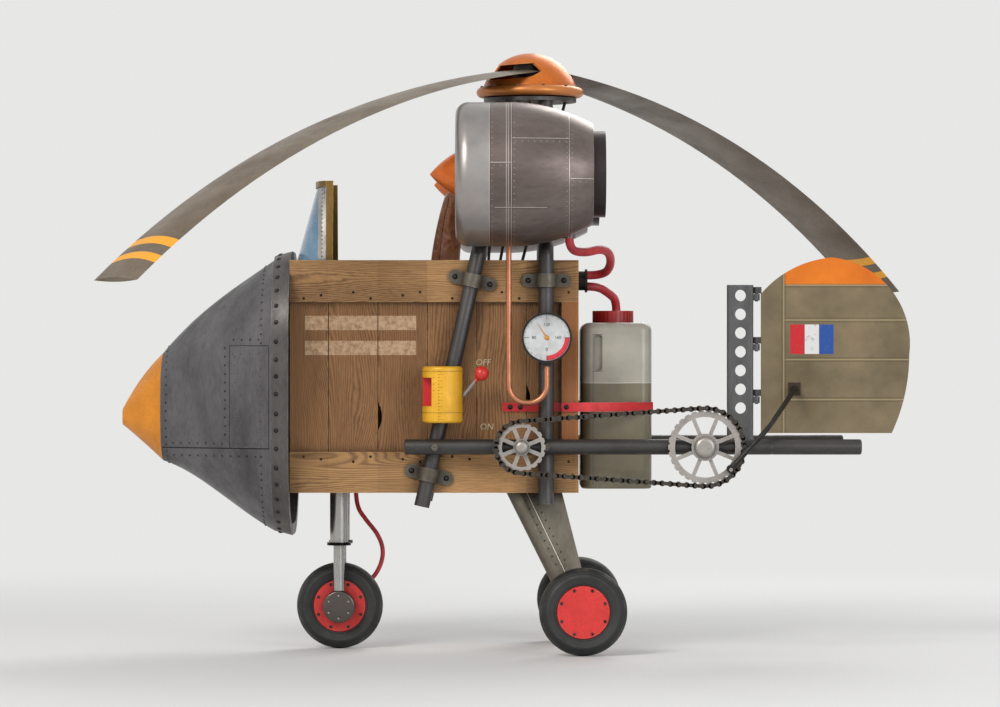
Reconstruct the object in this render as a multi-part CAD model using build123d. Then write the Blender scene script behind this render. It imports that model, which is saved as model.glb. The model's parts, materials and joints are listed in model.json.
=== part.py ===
from build123d import *

import math
import os

# Kit helicopter: a planked crate on three wheels with a riveted nose, two engine pods on tube posts,
# a two-blade drooping rotor under a dome, and a chain-driven rudder on twin booms.
# Nose towards -X, left side towards -Y, wheels on Z = 0, rotor axis through X = 0, Y = 0. Millimetres.

# Crate
CRATE_FRONT_X = -944
CRATE_LENGTH = 1132
CRATE_WIDTH = 660
CRATE_BOTTOM_Z = 632
CRATE_HEIGHT = 912
PLANK_THICK = 22
PLANK_PITCH = 194
PLANK_GROOVE = 5
RAIL_THICK = 24
TOP_RAIL_HEIGHT = 164
BOTTOM_RAIL_HEIGHT = 160
FLOOR_THICK = 30
FLOOR_SEAM = 3
FLOOR_SEAM_X = -690
KNOT_HALF_LENGTH = 58
KNOT_DEPTH = 16
CORNER_POST = 66

# Nose
RING_LENGTH = 68
RING_WIDTH = 900
RING_HEIGHT = 1128
RING_CENTRE_Z = 1020
RING_TAPER = 36
RING_WALL = 45
RING_CORNER = 0.78
NOSE_WALL = 8
NOSE_LENGTH = 616

# Windscreen
SCREEN_REAR_X = -804
SCREEN_HEIGHT = 292
SCREEN_BASE_DEPTH = 128
SCREEN_TOP_DEPTH = 46
SCREEN_BASE_HALF = 262
SCREEN_TOP_HALF = 215
SCREEN_THICK = 6
SCREEN_BAR = 26
SCREEN_RAIL = 24

# Seat
SEAT_WIDTH = 330
SEAT_BACK_THICK = 84
SEAT_BACK_RISE = 730
SEAT_BACK_LEAN = 84
SEAT_BACK_X = -384
CUSHION_LENGTH = 380
CUSHION_THICK = 100
CUSHION_TOP_Z = 1100
PAN_INSET = 12
PAN_WALL = 22

# Posts, booms and their clamps
TUBE_R = 30
TUBE_WALL = 4
TUBE_GAP = 0.3
POST_FOOT_Z = 590
POST_X = 60
LEAN_FOOT_X = -424
LEAN_HEAD_X = -64
POST_INNER_Y = 130
POST_BEND_Z = 1592
POST_STRAIGHT_Z = 1712
POST_BEND_R = 70
CLAMP_WIDTH = 52
CLAMP_EAR = 66
CLAMP_THICK = 10
CLAMP_LOW_Z = 704
CLAMP_HIGH_Z = 1464
BOOM_FRONT_X = -492
BOOM_LENGTH = 1780
BOOM_Z = 814
BOOM_END_R = 8
BOOM_MARK_X = 940
BOOM_MARK_WIDTH = 4
BOOM_MARK_DEPTH = 1.5
CROSS_TUBE_X = 838

# Engine pods
POD_Z = 1872
POD_Y = 500
POD_FRONT_X = -292
POD_LENGTH = 532
POD_R = 279
POD_LIP_R = 48
POD_REAR_R = 196
INTAKE_R = 222
INTAKE_DEPTH = 170
NOZZLE_R = 167
NOZZLE_LENGTH = 48
NOZZLE_WALL = 10
NOZZLE_DEPTH = 130
SPINNER_R = 96
SPINNER_PROUD = 100
FAN_BLADES = 12
FAN_GAP = 6
FAN_BEARING_R = 40
BEARING_GAP = 0.3
FAN_DISC = 46
FAN_BLADE_THICK = 7

# Rotor head and blades
HEAD_Z = 2196
PLATE_R = 185
PLATE_THICK = 14
FLANGE_R = 214
FLANGE_THICK = 40
DOME_R = 187
DOME_HEIGHT = 137
DOME_WALL = 8
HEAD_GAP = 5
HEAD_BEARING_R = 70
BLADE_ROOT_R = 70
BOSS_GAP = 0.76
BLADE_TIP_R = 2080
BLADE_CHORD = 260
BLADE_THICK = 22
BLADE_RISE = 55
BLADE_DROOP = 850
BLADE_MID_R = 1200
BLADE_MID_DROOP = 308
BLADE_SLOT_GAP = 12
ROTOR_TURN = 43

# Wheels and gear
TYRE_R = 172
TYRE_WIDTH = 104
RIM_R = 106
NOSE_WHEEL_X = -760
MAIN_WHEEL_X = 204
MAIN_WHEEL_Y = 425
AXLE_R = 14
WHEEL_GAP = 6
OLEO_R = 36
PISTON_R = 22
OLEO_BOTTOM_Z = 416
HUB_COVER_R = 64
LEG_TOP_X = 14
LEG_TOP_CHORD = 220
LEG_TOP_THICK = 70
LEG_FOOT_CHORD = 96
LEG_FOOT_THICK = 46

# Tail
POST_TAIL_X = 788
TAIL_POST_WIDTH = 104
TAIL_POST_DEPTH = 60
TAIL_POST_WALL = 5
TAIL_POST_TOP_Z = 1452
TAIL_HOLE_R = 23
TAIL_HOLE_PITCH = 75
TAIL_HOLES = 7
RUDDER_GAP = 5
RUDDER_THICK = 26
RUDDER_BOTTOM_Z = 860

# Chain drive
CHAIN_PITCH = 31.75
SMALL_TEETH = 20
BIG_TEETH = 30
CHAIN_LINKS = 70
ROLLER_R = 8
ROLLER_GAP = 0.3
CHAIN_INNER = 13
LINK_PLATE = 4
LINK_HEIGHT = 25
SPROCKET_THICK = 9
SMALL_X = -36
SMALL_RIM = 16
BIG_RIM = 26
SPOKES = 8

os.makedirs("parts", exist_ok=True)
HALF_W = CRATE_WIDTH / 2
CRATE_REAR_X = CRATE_FRONT_X + CRATE_LENGTH
CRATE_TOP_Z = CRATE_BOTTOM_Z + CRATE_HEIGHT
SIDES = (("left", -1), ("right", 1))


nodes = {}


def save(node, shape):
    nodes[node] = shape


def block(x0, x1, y0, y1, z0, z1):
    return Pos((x0 + x1) / 2, (y0 + y1) / 2, (z0 + z1) / 2) * Box(x1 - x0, y1 - y0, z1 - z0)


FOOT = (Align.CENTER, Align.CENTER, Align.MIN)


def rod_between(a, b, radius):
    run = Vector(*b) - Vector(*a)
    return Plane(origin=a, z_dir=run) * Cylinder(radius, run.length, align=FOOT)


def across(x, z, radius, y0, y1):
    return rod_between((x, y0, z), (x, y1, z), radius)


def turned(profile):
    # A profile drawn in the XZ plane, turned round the Z axis
    return revolve(profile, Axis.Z)


# Crate: four planked walls on a floor, open at the top, with proud rails along the sides


def crate_side(sign):
    inner_y = sign * (HALF_W - RAIL_THICK - PLANK_THICK)
    plank_y = sign * (HALF_W - RAIL_THICK)
    outer_y = sign * HALF_W
    low, high = sorted((inner_y, plank_y))
    wall = block(CRATE_FRONT_X, CRATE_REAR_X, low, high, CRATE_BOTTOM_Z, CRATE_TOP_Z)
    groove_y = plank_y - sign * PLANK_GROOVE
    x = CRATE_FRONT_X + PLANK_PITCH - 43
    while x < CRATE_REAR_X - PLANK_PITCH / 2:
        low, high = sorted((groove_y, plank_y))
        wall -= block(x - 2, x + 2, low, high + 0.01, CRATE_BOTTOM_Z, CRATE_TOP_Z)
        x += PLANK_PITCH
    # Two wany plank edges leave lens-shaped gaps that show the dark inside
    knot_r = (KNOT_HALF_LENGTH**2 + KNOT_DEPTH**2) / (2 * KNOT_DEPTH)
    second_plank = CRATE_FRONT_X + 2 * PLANK_PITCH - 43
    fifth_plank = CRATE_FRONT_X + 5 * PLANK_PITCH - 43
    for edge, middle_z in ((second_plank, 932), (fifth_plank, 1000)):
        bite = across(edge + KNOT_DEPTH - knot_r, middle_z, knot_r, -HALF_W, HALF_W)
        wall -= bite & block(edge, edge + 2 * KNOT_DEPTH, -HALF_W, HALF_W, 800, 1300)
    low, high = sorted((plank_y, outer_y))
    top = block(CRATE_FRONT_X, CRATE_REAR_X, low, high, CRATE_TOP_Z - TOP_RAIL_HEIGHT, CRATE_TOP_Z)
    foot = block(CRATE_FRONT_X, CRATE_REAR_X, low, high, CRATE_BOTTOM_Z, CRATE_BOTTOM_Z + BOTTOM_RAIL_HEIGHT)
    post = block(CRATE_REAR_X - CORNER_POST, CRATE_REAR_X, low, high, CRATE_BOTTOM_Z, CRATE_TOP_Z)
    return wall + top + foot + post


WALL_IN_Y = HALF_W - RAIL_THICK - PLANK_THICK
END_THICK = PLANK_THICK + 6
for side, sign in SIDES:
    save(f"crate_side_{side}", crate_side(sign))


def crate_end(x0, height):
    wall = block(x0, x0 + END_THICK, -WALL_IN_Y, WALL_IN_Y, CRATE_BOTTOM_Z, CRATE_BOTTOM_Z + height)
    y = -WALL_IN_Y + PLANK_PITCH * 0.8
    face = x0 + END_THICK if x0 > 0 else x0
    while y < WALL_IN_Y - PLANK_PITCH * 0.5:
        wall -= block(face - PLANK_GROOVE, face + PLANK_GROOVE, y - 2, y + 2, CRATE_BOTTOM_Z, CRATE_TOP_Z)
        y += PLANK_PITCH * 0.8
    return wall


save("crate_front", crate_end(CRATE_FRONT_X, CRATE_HEIGHT))
save("crate_rear", crate_end(CRATE_REAR_X - END_THICK, CRATE_HEIGHT))
FLOOR_X0 = CRATE_FRONT_X + END_THICK
FLOOR_X1 = CRATE_REAR_X - END_THICK
FLOOR_TOP_Z = CRATE_BOTTOM_Z + FLOOR_THICK
floor = block(FLOOR_X0, FLOOR_X1, -WALL_IN_Y, WALL_IN_Y, CRATE_BOTTOM_Z, FLOOR_TOP_Z)
# A seam in front of the seat lets the footwell's panel carry a load by itself
seam_z = FLOOR_TOP_Z - FLOOR_SEAM
floor -= block(FLOOR_SEAM_X, FLOOR_SEAM_X + FLOOR_SEAM, -WALL_IN_Y, WALL_IN_Y, seam_z, FLOOR_TOP_Z)
save("crate_floor", floor)
# A planked deck closes the rear of the crate behind the seat and carries the rotor drive
DECK_FRONT_X = -180
DECK_THICK = 28
save(
    "crate_deck",
    block(DECK_FRONT_X, FLOOR_X1, -WALL_IN_Y, WALL_IN_Y, CRATE_TOP_Z - DECK_THICK, CRATE_TOP_Z),
)

# Nose: a tilted shell that tapers from a rivet ring to a painted cap, through rounded sections

# Share of the nose's length, top and bottom as shares of the ring's height above its centre, corner share
NOSE_STATIONS = (
    (0.000, 0.4716, -0.4858, 0.80),
    (0.240, 0.3830, -0.4025, 0.86),
    (0.484, 0.2819, -0.3085, 0.92),
    (0.734, 0.1436, -0.2394, 0.97),
    (0.914, 0.0248, -0.1507, 0.99),
    (1.000, -0.0550, -0.1117, 0.99),
)
CAP_STATION = 3


def nose_section(share, top, bottom, corner, inset):
    height = (top - bottom) * RING_HEIGHT - 2 * inset
    width = (top - bottom) * RING_WIDTH - 2 * inset
    x = CRATE_FRONT_X - RING_LENGTH - share * NOSE_LENGTH
    middle = RING_CENTRE_Z + RING_HEIGHT * (top + bottom) / 2
    face = Plane(origin=(x, 0, middle), x_dir=(0, 1, 0), z_dir=(-1, 0, 0))
    return face * RectangleRounded(width, height, corner * min(width, height) / 2)


def nose_body(inset, stations):
    return loft([nose_section(*station, inset) for station in stations])


def ring_section(forward, smaller):
    width, height = RING_WIDTH - smaller, RING_HEIGHT - smaller
    face = Plane(origin=(CRATE_FRONT_X - forward, 0, RING_CENTRE_Z), x_dir=(0, 1, 0), z_dir=(-1, 0, 0))
    return face * RectangleRounded(width, height, RING_CORNER * width / 2)


ring_body = loft([ring_section(0, 0), ring_section(RING_LENGTH, RING_TAPER)], ruled=True)
save("nose_ring", ring_body - extrude(ring_section(0, 2 * RING_WALL), RING_LENGTH))
skin_stations = NOSE_STATIONS[: CAP_STATION + 1]
nose_inner = nose_body(NOSE_WALL, skin_stations)
save("nose_skin", nose_body(0, skin_stations) - nose_inner)
save("nose_cap", nose_body(0, NOSE_STATIONS[CAP_STATION:]))

# Windscreen: a wrapped sheet between two half ellipses, held by a rear bar and a top rail


def screen_arc(depth, half, inset):
    whole = Ellipse(depth - inset, half - inset)
    front_half = Pos(-depth, 0) * Rectangle(2 * depth, 2 * half + 2)
    return whole & front_half


def screen_body(inset, top_z):
    foot_place = Plane(origin=(SCREEN_REAR_X, 0, CRATE_TOP_Z))
    foot = foot_place * screen_arc(SCREEN_BASE_DEPTH, SCREEN_BASE_HALF, inset)
    head = Plane(origin=(SCREEN_REAR_X, 0, top_z)) * screen_arc(SCREEN_TOP_DEPTH, SCREEN_TOP_HALF, inset)
    return loft([foot, head], ruled=True)


SCREEN_TOP_Z = CRATE_TOP_Z + SCREEN_HEIGHT
screen = screen_body(0, SCREEN_TOP_Z) - screen_body(SCREEN_THICK, SCREEN_TOP_Z)
save("windscreen", screen)
frame_parts = []
for side, sign in SIDES:
    foot = (SCREEN_REAR_X + SCREEN_BAR / 2, sign * (SCREEN_BASE_HALF - 4), CRATE_TOP_Z)
    head = (SCREEN_REAR_X + SCREEN_BAR / 2, sign * (SCREEN_TOP_HALF - 4), SCREEN_TOP_Z + SCREEN_RAIL)
    bar_foot = Plane(origin=foot) * Rectangle(SCREEN_BAR, 14)
    bar_head = Plane(origin=head) * Rectangle(SCREEN_BAR, 14)
    frame_parts.append(loft([bar_foot, bar_head], ruled=True))
rail_plane = Plane(origin=(SCREEN_REAR_X, 0, SCREEN_TOP_Z))
rail_arc = screen_arc(SCREEN_TOP_DEPTH + 6, SCREEN_TOP_HALF + 3, 0)
rail_arc -= screen_arc(SCREEN_TOP_DEPTH, SCREEN_TOP_HALF, 14)
top_rail = extrude(rail_plane * rail_arc, SCREEN_RAIL)
save("windscreen_frame", frame_parts[0] + top_rail + frame_parts[1])

# Seat: a leaning back with a curved front edge, and a cushion on the crate floor

SEAT_REAR_X = SEAT_BACK_X + SEAT_BACK_THICK
seat_top = (SEAT_BACK_X + SEAT_BACK_LEAN, CUSHION_TOP_Z + SEAT_BACK_RISE)
seat_top_rear = (seat_top[0] + 0.45 * SEAT_BACK_THICK, seat_top[1] - 18)
seat_front_foot = (SEAT_BACK_X, CUSHION_TOP_Z)
seat_rear_foot = (SEAT_REAR_X, CUSHION_TOP_Z)
front_middle = (SEAT_BACK_X + 16, CUSHION_TOP_Z + 0.74 * SEAT_BACK_RISE)
rear_middle = (SEAT_REAR_X + 10, CUSHION_TOP_Z + 0.68 * SEAT_BACK_RISE)
seat_face = make_face(
    [
        ThreePointArc(seat_top, front_middle, seat_front_foot),
        Line(seat_top, seat_top_rear),
        ThreePointArc(seat_top_rear, rear_middle, seat_rear_foot),
        Line(seat_front_foot, seat_rear_foot),
    ]
)
seat_back = extrude(Plane.XZ * seat_face, SEAT_WIDTH / 2, both=True)
save("seat_back", fillet(seat_back.edges().filter_by(Axis.Y), 10))
CUSHION_X0 = SEAT_REAR_X - CUSHION_LENGTH
half_seat = SEAT_WIDTH / 2
cushion_z1 = CUSHION_TOP_Z - TUBE_GAP
cushion_z0 = cushion_z1 - CUSHION_THICK
cushion = block(CUSHION_X0, SEAT_REAR_X, -half_seat, half_seat, cushion_z0, cushion_z1)
save("seat_cushion", fillet(cushion.edges(), 18))
pan_half = half_seat - 15
pan_z1 = cushion_z0 - TUBE_GAP
pan_x0, pan_x1 = CUSHION_X0 + PAN_INSET, SEAT_REAR_X - PAN_INSET
pan = block(pan_x0, pan_x1, -pan_half, pan_half, FLOOR_TOP_Z, pan_z1)
pan -= block(pan_x0 + PAN_WALL, pan_x1 - PAN_WALL, -half_seat, half_seat, FLOOR_TOP_Z - 1, pan_z1 - PAN_WALL)
save("seat_pan", pan)

# Posts: on each side one upright and one leaning tube, bent in above the crate towards the rotor head

SIDE_Y = HALF_W + TUBE_GAP + TUBE_R


def bent_tube(points, bend, radius=TUBE_R):
    path = FilletPolyline(*points, radius=bend)
    start = Plane(origin=path @ 0, z_dir=path % 0)
    return sweep(start * Circle(radius), path=path)


def lean_x(z):
    # The leaning tube's centre at a height
    share = (z - POST_FOOT_Z) / (HEAD_Z - POST_FOOT_Z)
    return LEAN_FOOT_X + share * (LEAN_HEAD_X - LEAN_FOOT_X)


HEAD_PLATE_Z = HEAD_Z - PLATE_THICK
upright_points = [
    (POST_X, 1, POST_FOOT_Z),
    (POST_X, 1, POST_BEND_Z),
    (POST_X, 0, POST_STRAIGHT_Z),
    (POST_X, 0, HEAD_PLATE_Z),
]
leaning_points = [
    (lean_x(POST_FOOT_Z - 10), 1, POST_FOOT_Z - 10),
    (lean_x(POST_BEND_Z), 1, POST_BEND_Z),
    (lean_x(POST_STRAIGHT_Z), 0, POST_STRAIGHT_Z),
    (lean_x(HEAD_PLATE_Z), 0, HEAD_PLATE_Z),
]
for side, sign in SIDES:
    tubes = []
    for points in (upright_points, leaning_points):
        route = [(x, sign * (SIDE_Y if outer else POST_INNER_Y), z) for x, outer, z in points]
        tube = bent_tube(route, POST_BEND_R)
        tubes.append(tube - block(-500, 500, -500, 500, HEAD_PLATE_Z, HEAD_PLATE_Z + 100))
    save(f"mast_posts_{side}", Compound(children=tubes))

# Saddle clamps: a half shell over the tube with an ear each side, bolted to the rails


def saddle(x, z, tilt, sign):
    ears = Box(2 * (TUBE_R + CLAMP_EAR), CLAMP_THICK, CLAMP_WIDTH)
    ears = fillet(ears.edges().filter_by(Axis.Y), CLAMP_WIDTH / 2 - 1)
    ears = Pos(0, -CLAMP_THICK / 2, 0) * ears
    shell = Pos(0, -TUBE_R - TUBE_GAP, 0) * Cylinder(TUBE_R + CLAMP_THICK, CLAMP_WIDTH)
    clamp = ears + shell
    clamp -= Pos(0, -TUBE_R - TUBE_GAP, 0) * Cylinder(TUBE_R + TUBE_GAP, CLAMP_WIDTH + 2)
    mouth = (Align.CENTER, Align.MIN, Align.CENTER)
    clamp -= Pos(0, -TUBE_R - TUBE_GAP, 0) * Box(2 * (TUBE_R + TUBE_GAP), 200, 2 * CLAMP_WIDTH, align=mouth)
    clamp -= Box(400, 200, 400, align=mouth)
    if sign > 0:
        clamp = mirror(clamp, Plane.XZ)
    return Pos(x, sign * HALF_W, z) * Rot(0, tilt, 0) * clamp


LEAN_TILT = math.degrees(math.atan2(LEAN_HEAD_X - LEAN_FOOT_X, HEAD_Z - POST_FOOT_Z))
for side, sign in SIDES:
    clamps = [saddle(lean_x(z), z, LEAN_TILT, sign) for z in (CLAMP_LOW_Z, CLAMP_HIGH_Z)]
    clamps.append(saddle(POST_X, CLAMP_HIGH_Z, 0, sign))
    save(f"saddle_clamps_{side}", Compound(children=clamps))

# Booms: two straight tubes bolted across the outside of the posts, with one cross tube at the tail.
# A shallow groove marks where each boom's free rear stretch starts, which takes a tube clamp.

BOOM_Y = SIDE_Y + 2 * TUBE_R + TUBE_GAP
BOOM_REAR_X = BOOM_FRONT_X + BOOM_LENGTH
booms = {}
for side, sign in SIDES:
    boom = rod_between((BOOM_FRONT_X, sign * BOOM_Y, BOOM_Z), (BOOM_REAR_X, sign * BOOM_Y, BOOM_Z), TUBE_R)
    boom = fillet(boom.edges(), BOOM_END_R)
    mark_ends = [(x, sign * BOOM_Y, BOOM_Z) for x in (BOOM_MARK_X - BOOM_MARK_WIDTH, BOOM_MARK_X)]
    boom -= rod_between(*mark_ends, TUBE_R + 1) - rod_between(*mark_ends, TUBE_R - BOOM_MARK_DEPTH)
    boom += across(lean_x(BOOM_Z), BOOM_Z, 11, *sorted((sign * BOOM_Y, sign * (BOOM_Y + TUBE_R + 8))))
    boom += across(POST_X, BOOM_Z, 11, *sorted((sign * BOOM_Y, sign * (BOOM_Y + TUBE_R + 8))))
    booms[side] = boom
cross = across(CROSS_TUBE_X, BOOM_Z, TUBE_R - 4, -BOOM_Y, BOOM_Y)
for side, sign in SIDES:
    cross -= rod_between(
        (BOOM_FRONT_X, sign * BOOM_Y, BOOM_Z), (BOOM_REAR_X, sign * BOOM_Y, BOOM_Z), TUBE_R + TUBE_GAP
    )
save("boom_cross_tube", max(cross.solids(), key=lambda solid: solid.volume))

# Engine pods: a turned nacelle with a rolled lip, an intake, a solid core and a rear nozzle


def pod_profile():
    # Drawn as radius against length; the pod's axis is the Z axis until it is laid along X
    lip = POD_LIP_R
    rear = POD_LENGTH
    top = Polyline((INTAKE_R, INTAKE_DEPTH), (INTAKE_R, 26))
    nose_arc = ThreePointArc((INTAKE_R, 26), (INTAKE_R + 9, 3), (POD_R - lip, 0))
    shoulder = ThreePointArc((POD_R - lip, 0), (POD_R - 0.30 * lip, 0.29 * lip), (POD_R, lip * 1.15))
    barrel = Line((POD_R, lip * 1.15), (POD_R, 0.36 * rear))
    boat = ThreePointArc((POD_R, 0.36 * rear), (POD_R - 26, 0.74 * rear), (POD_REAR_R, rear))
    ends = Polyline(
        (POD_REAR_R, rear),
        (NOZZLE_R, rear),
        (NOZZLE_R, rear + NOZZLE_LENGTH),
        (NOZZLE_R - NOZZLE_WALL, rear + NOZZLE_LENGTH),
        (NOZZLE_R - NOZZLE_WALL, rear + NOZZLE_LENGTH - NOZZLE_DEPTH),
        (0, rear + NOZZLE_LENGTH - NOZZLE_DEPTH),
        (0, INTAKE_DEPTH),
        (INTAKE_R, INTAKE_DEPTH),
    )
    return make_face([*top.edges(), nose_arc, shoulder, barrel, boat, *ends.edges()])


def lay_along_x(shape, x, y, z):
    # The turned axis Z becomes +X, starting at x
    return Pos(x, y, z) * Rot(0, 90, 0) * shape


def pod_body(sign):
    turned_body = revolve(Plane.XZ * pod_profile(), Axis.Z)
    tail_cone = Cone(95, 30, 110, align=(Align.CENTER, Align.CENTER, Align.MIN))
    turned_body += Pos(0, 0, POD_LENGTH + NOZZLE_LENGTH - NOZZLE_DEPTH) * tail_cone
    bearing_length = FAN_GAP - BEARING_GAP + 1
    bearing = Cylinder(FAN_BEARING_R, bearing_length, align=(Align.CENTER, Align.CENTER, Align.MAX))
    turned_body += Pos(0, 0, INTAKE_DEPTH + 1) * bearing
    return lay_along_x(turned_body, POD_FRONT_X, sign * POD_Y, POD_Z)


def fan_body(sign):
    # Spinner and blades turn ahead of the core; the disc behind them carries the shaft
    back = INTAKE_DEPTH - FAN_GAP
    tip_arc = ThreePointArc((0, -SPINNER_PROUD), (SPINNER_R * 0.55, -SPINNER_PROUD + 52), (SPINNER_R, 22))
    side_line = Polyline((SPINNER_R, 22), (SPINNER_R, back), (0, back), (0, -SPINNER_PROUD))
    spinner = revolve(Plane.XZ * make_face([tip_arc, *side_line.edges()]), Axis.Z)
    reach = INTAKE_R - FAN_GAP
    for index in range(FAN_BLADES):
        blade = Pos((reach + SPINNER_R - 20) / 2, 0, back - FAN_DISC / 2) * Rot(38, 0, 0) * Box(
            reach - SPINNER_R + 20, FAN_BLADE_THICK, FAN_DISC
        )
        spinner += Rot(0, 0, 360 / FAN_BLADES * index) * blade
    spinner &= Pos(0, 0, back / 2) * Cylinder(reach, 3 * POD_LENGTH)
    spinner &= Pos(0, 0, back - 300) * Box(900, 900, 600)
    return lay_along_x(spinner, POD_FRONT_X, sign * POD_Y, POD_Z)


HOSE_EXIT_X = 150
HOSE_EXIT_Y = -440
HOSE_EXIT_Z = 1626
pods = {}
for side, sign in SIDES:
    pod = pod_body(sign)
    tubes = []
    for points in (upright_points, leaning_points):
        low, high = points[2], points[3]
        tube_x = low[0] + (POD_Z - low[2]) * (high[0] - low[0]) / (high[2] - low[2])
        lug = across(tube_x, POD_Z, 30, *sorted((sign * POST_INNER_Y, sign * (POD_Y - POD_R + 40))))
        foot = (points[2][0], sign * POST_INNER_Y, points[2][2])
        head = (points[3][0], sign * POST_INNER_Y, points[3][2])
        pod += lug
        tubes.append(rod_between(foot, head, TUBE_R + TUBE_GAP))
    for tube in tubes:
        pod -= tube
    if sign < 0:
        stub_foot = (HOSE_EXIT_X, HOSE_EXIT_Y, HOSE_EXIT_Z)
        pod += rod_between(stub_foot, (HOSE_EXIT_X, HOSE_EXIT_Y, POD_Z - 120), 24)
    pods[side] = max(pod.solids(), key=lambda solid: solid.volume)
    save(f"engine_pod_{side}", pods[side])
    save(f"fan_{side}", fan_body(sign))

# Rotor head: a plate on the four posts, and a domed flange above it that turns with the blades

head_plate = Pos(0, 0, HEAD_Z - PLATE_THICK) * Cylinder(PLATE_R, PLATE_THICK, align=FOOT)
head_plate += Pos(0, 0, HEAD_Z - 1) * Cylinder(HEAD_BEARING_R, HEAD_GAP - BEARING_GAP + 1, align=FOOT)
save("head_plate", head_plate)
HUB_Z = HEAD_Z + HEAD_GAP
BLADE_ROOT_Z = HUB_Z + FLANGE_THICK + BLADE_RISE


def blade_path():
    # The blade's middle line at rest: root, middle and tip of one drooping arc
    return ThreePointArc(
        (BLADE_ROOT_R, 0, BLADE_ROOT_Z),
        (BLADE_MID_R, 0, BLADE_ROOT_Z - BLADE_MID_DROOP),
        (BLADE_TIP_R, 0, BLADE_ROOT_Z - BLADE_DROOP),
    )


def blade_slot():
    # A straight slot through the dome's wall, with room all round the blade's root
    path = blade_path()
    slope = math.degrees(math.atan2(-(path % 0).Z, (path % 0).X))
    slot = Box(300, BLADE_CHORD + 2 * BLADE_SLOT_GAP, BLADE_THICK + 2 * BLADE_SLOT_GAP + 8)
    slot = fillet(slot.edges().filter_by(Axis.X), BLADE_THICK / 2 + BLADE_SLOT_GAP)
    return Pos(BLADE_ROOT_R + 150, 0, BLADE_ROOT_Z - 8) * Rot(0, slope, 0) * slot


def blade_body():
    path = blade_path()
    root = Plane(origin=path @ 0, x_dir=(0, 1, 0), z_dir=path % 0)
    chord = BLADE_CHORD
    thick = BLADE_THICK
    upper = ThreePointArc((-chord / 2, 0), (-chord * 0.12, thick * 0.62), (chord / 2, 0))
    lower = ThreePointArc((chord / 2, 0), (-chord * 0.12, -thick * 0.38), (-chord / 2, 0))
    return sweep(root * make_face([upper, lower]), path=path)


FLANGE_ROUND = 19
DOME_FOOT_Z = FLANGE_THICK
BOSS_R = BLADE_ROOT_R - BOSS_GAP
BOSS_TOP_Z = DOME_FOOT_Z + 90


DOME_BALL_R = (DOME_R**2 + DOME_HEIGHT**2) / (2 * DOME_HEIGHT)
DOME_CENTRE_Z = DOME_FOOT_Z + DOME_HEIGHT - DOME_BALL_R


def dome_foot_r(wall):
    return math.sqrt((DOME_BALL_R - wall) ** 2 - (DOME_FOOT_Z - DOME_CENTRE_Z) ** 2)


def dome_arc(wall):
    # Part of a ball centred on the axis
    ball_r = DOME_BALL_R - wall
    middle = math.radians(50)
    shoulder = (ball_r * math.cos(middle), DOME_CENTRE_Z + ball_r * math.sin(middle))
    return ThreePointArc((dome_foot_r(wall), DOME_FOOT_Z), shoulder, (0, DOME_CENTRE_Z + ball_r))


head_edges = [
    Line((0, 0), (FLANGE_R - FLANGE_ROUND, 0)),
    ThreePointArc(
        (FLANGE_R - FLANGE_ROUND, 0), (FLANGE_R, FLANGE_THICK / 2), (FLANGE_R - FLANGE_ROUND, FLANGE_THICK)
    ),
    Line((FLANGE_R - FLANGE_ROUND, FLANGE_THICK), (DOME_R, DOME_FOOT_Z)),
    dome_arc(0),
    Line((0, DOME_FOOT_Z + DOME_HEIGHT), (0, DOME_FOOT_Z + DOME_HEIGHT - DOME_WALL)),
    dome_arc(DOME_WALL),
    *Polyline(
        (dome_foot_r(DOME_WALL), DOME_FOOT_Z),
        (BOSS_R, DOME_FOOT_Z),
        (BOSS_R, BOSS_TOP_Z),
        (0, BOSS_TOP_Z),
        (0, 0),
    ).edges(),
]
head = Pos(0, 0, HUB_Z) * revolve(Plane.XZ * make_face(head_edges), Axis.Z)
blades = []
for index in range(2):
    turn = Rot(0, 0, 180 + ROTOR_TURN + 180 * index)
    blades.append(turn * blade_body())
    head -= turn * blade_slot()
for index, name in enumerate(("rotor_blade_left", "rotor_blade_right")):
    save(name, blades[index])
save("rotor_head", max(head.solids(), key=lambda solid: solid.volume))

# Wheels: a rounded tyre on a flat red disc wheel, with an axle through the hub


def tyre_body(x, y, width):
    half = width / 2
    outer = ThreePointArc((TYRE_R - 34, half), (TYRE_R, 0), (TYRE_R - 34, -half))
    rest = Polyline((TYRE_R - 34, -half), (RIM_R, -half + 6), (RIM_R, half - 6), (TYRE_R - 34, half))
    ring = revolve(Plane.XZ * make_face([outer, *rest.edges()]), Axis.Z)
    return Pos(x, y, TYRE_R) * Rot(90, 0, 0) * ring


def rim_body(x, y, width):
    disc = Cylinder(RIM_R, width - 16)
    disc = chamfer(disc.edges(), 4)
    disc -= Cylinder(AXLE_R + 0.05, width + 2)
    return Pos(x, y, TYRE_R) * Rot(90, 0, 0) * disc


def gear_leg_section(z, x, y, chord, thick):
    nose = ThreePointArc((-0.20 * chord, thick / 2), (-0.5 * chord, 0), (-0.20 * chord, -thick / 2))
    back = Polyline(
        (-0.20 * chord, -thick / 2),
        (0.5 * chord, -thick / 6),
        (0.5 * chord, thick / 6),
        (-0.20 * chord, thick / 2),
    )
    return Plane(origin=(x, y, z)) * make_face([nose, *back.edges()])


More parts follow.
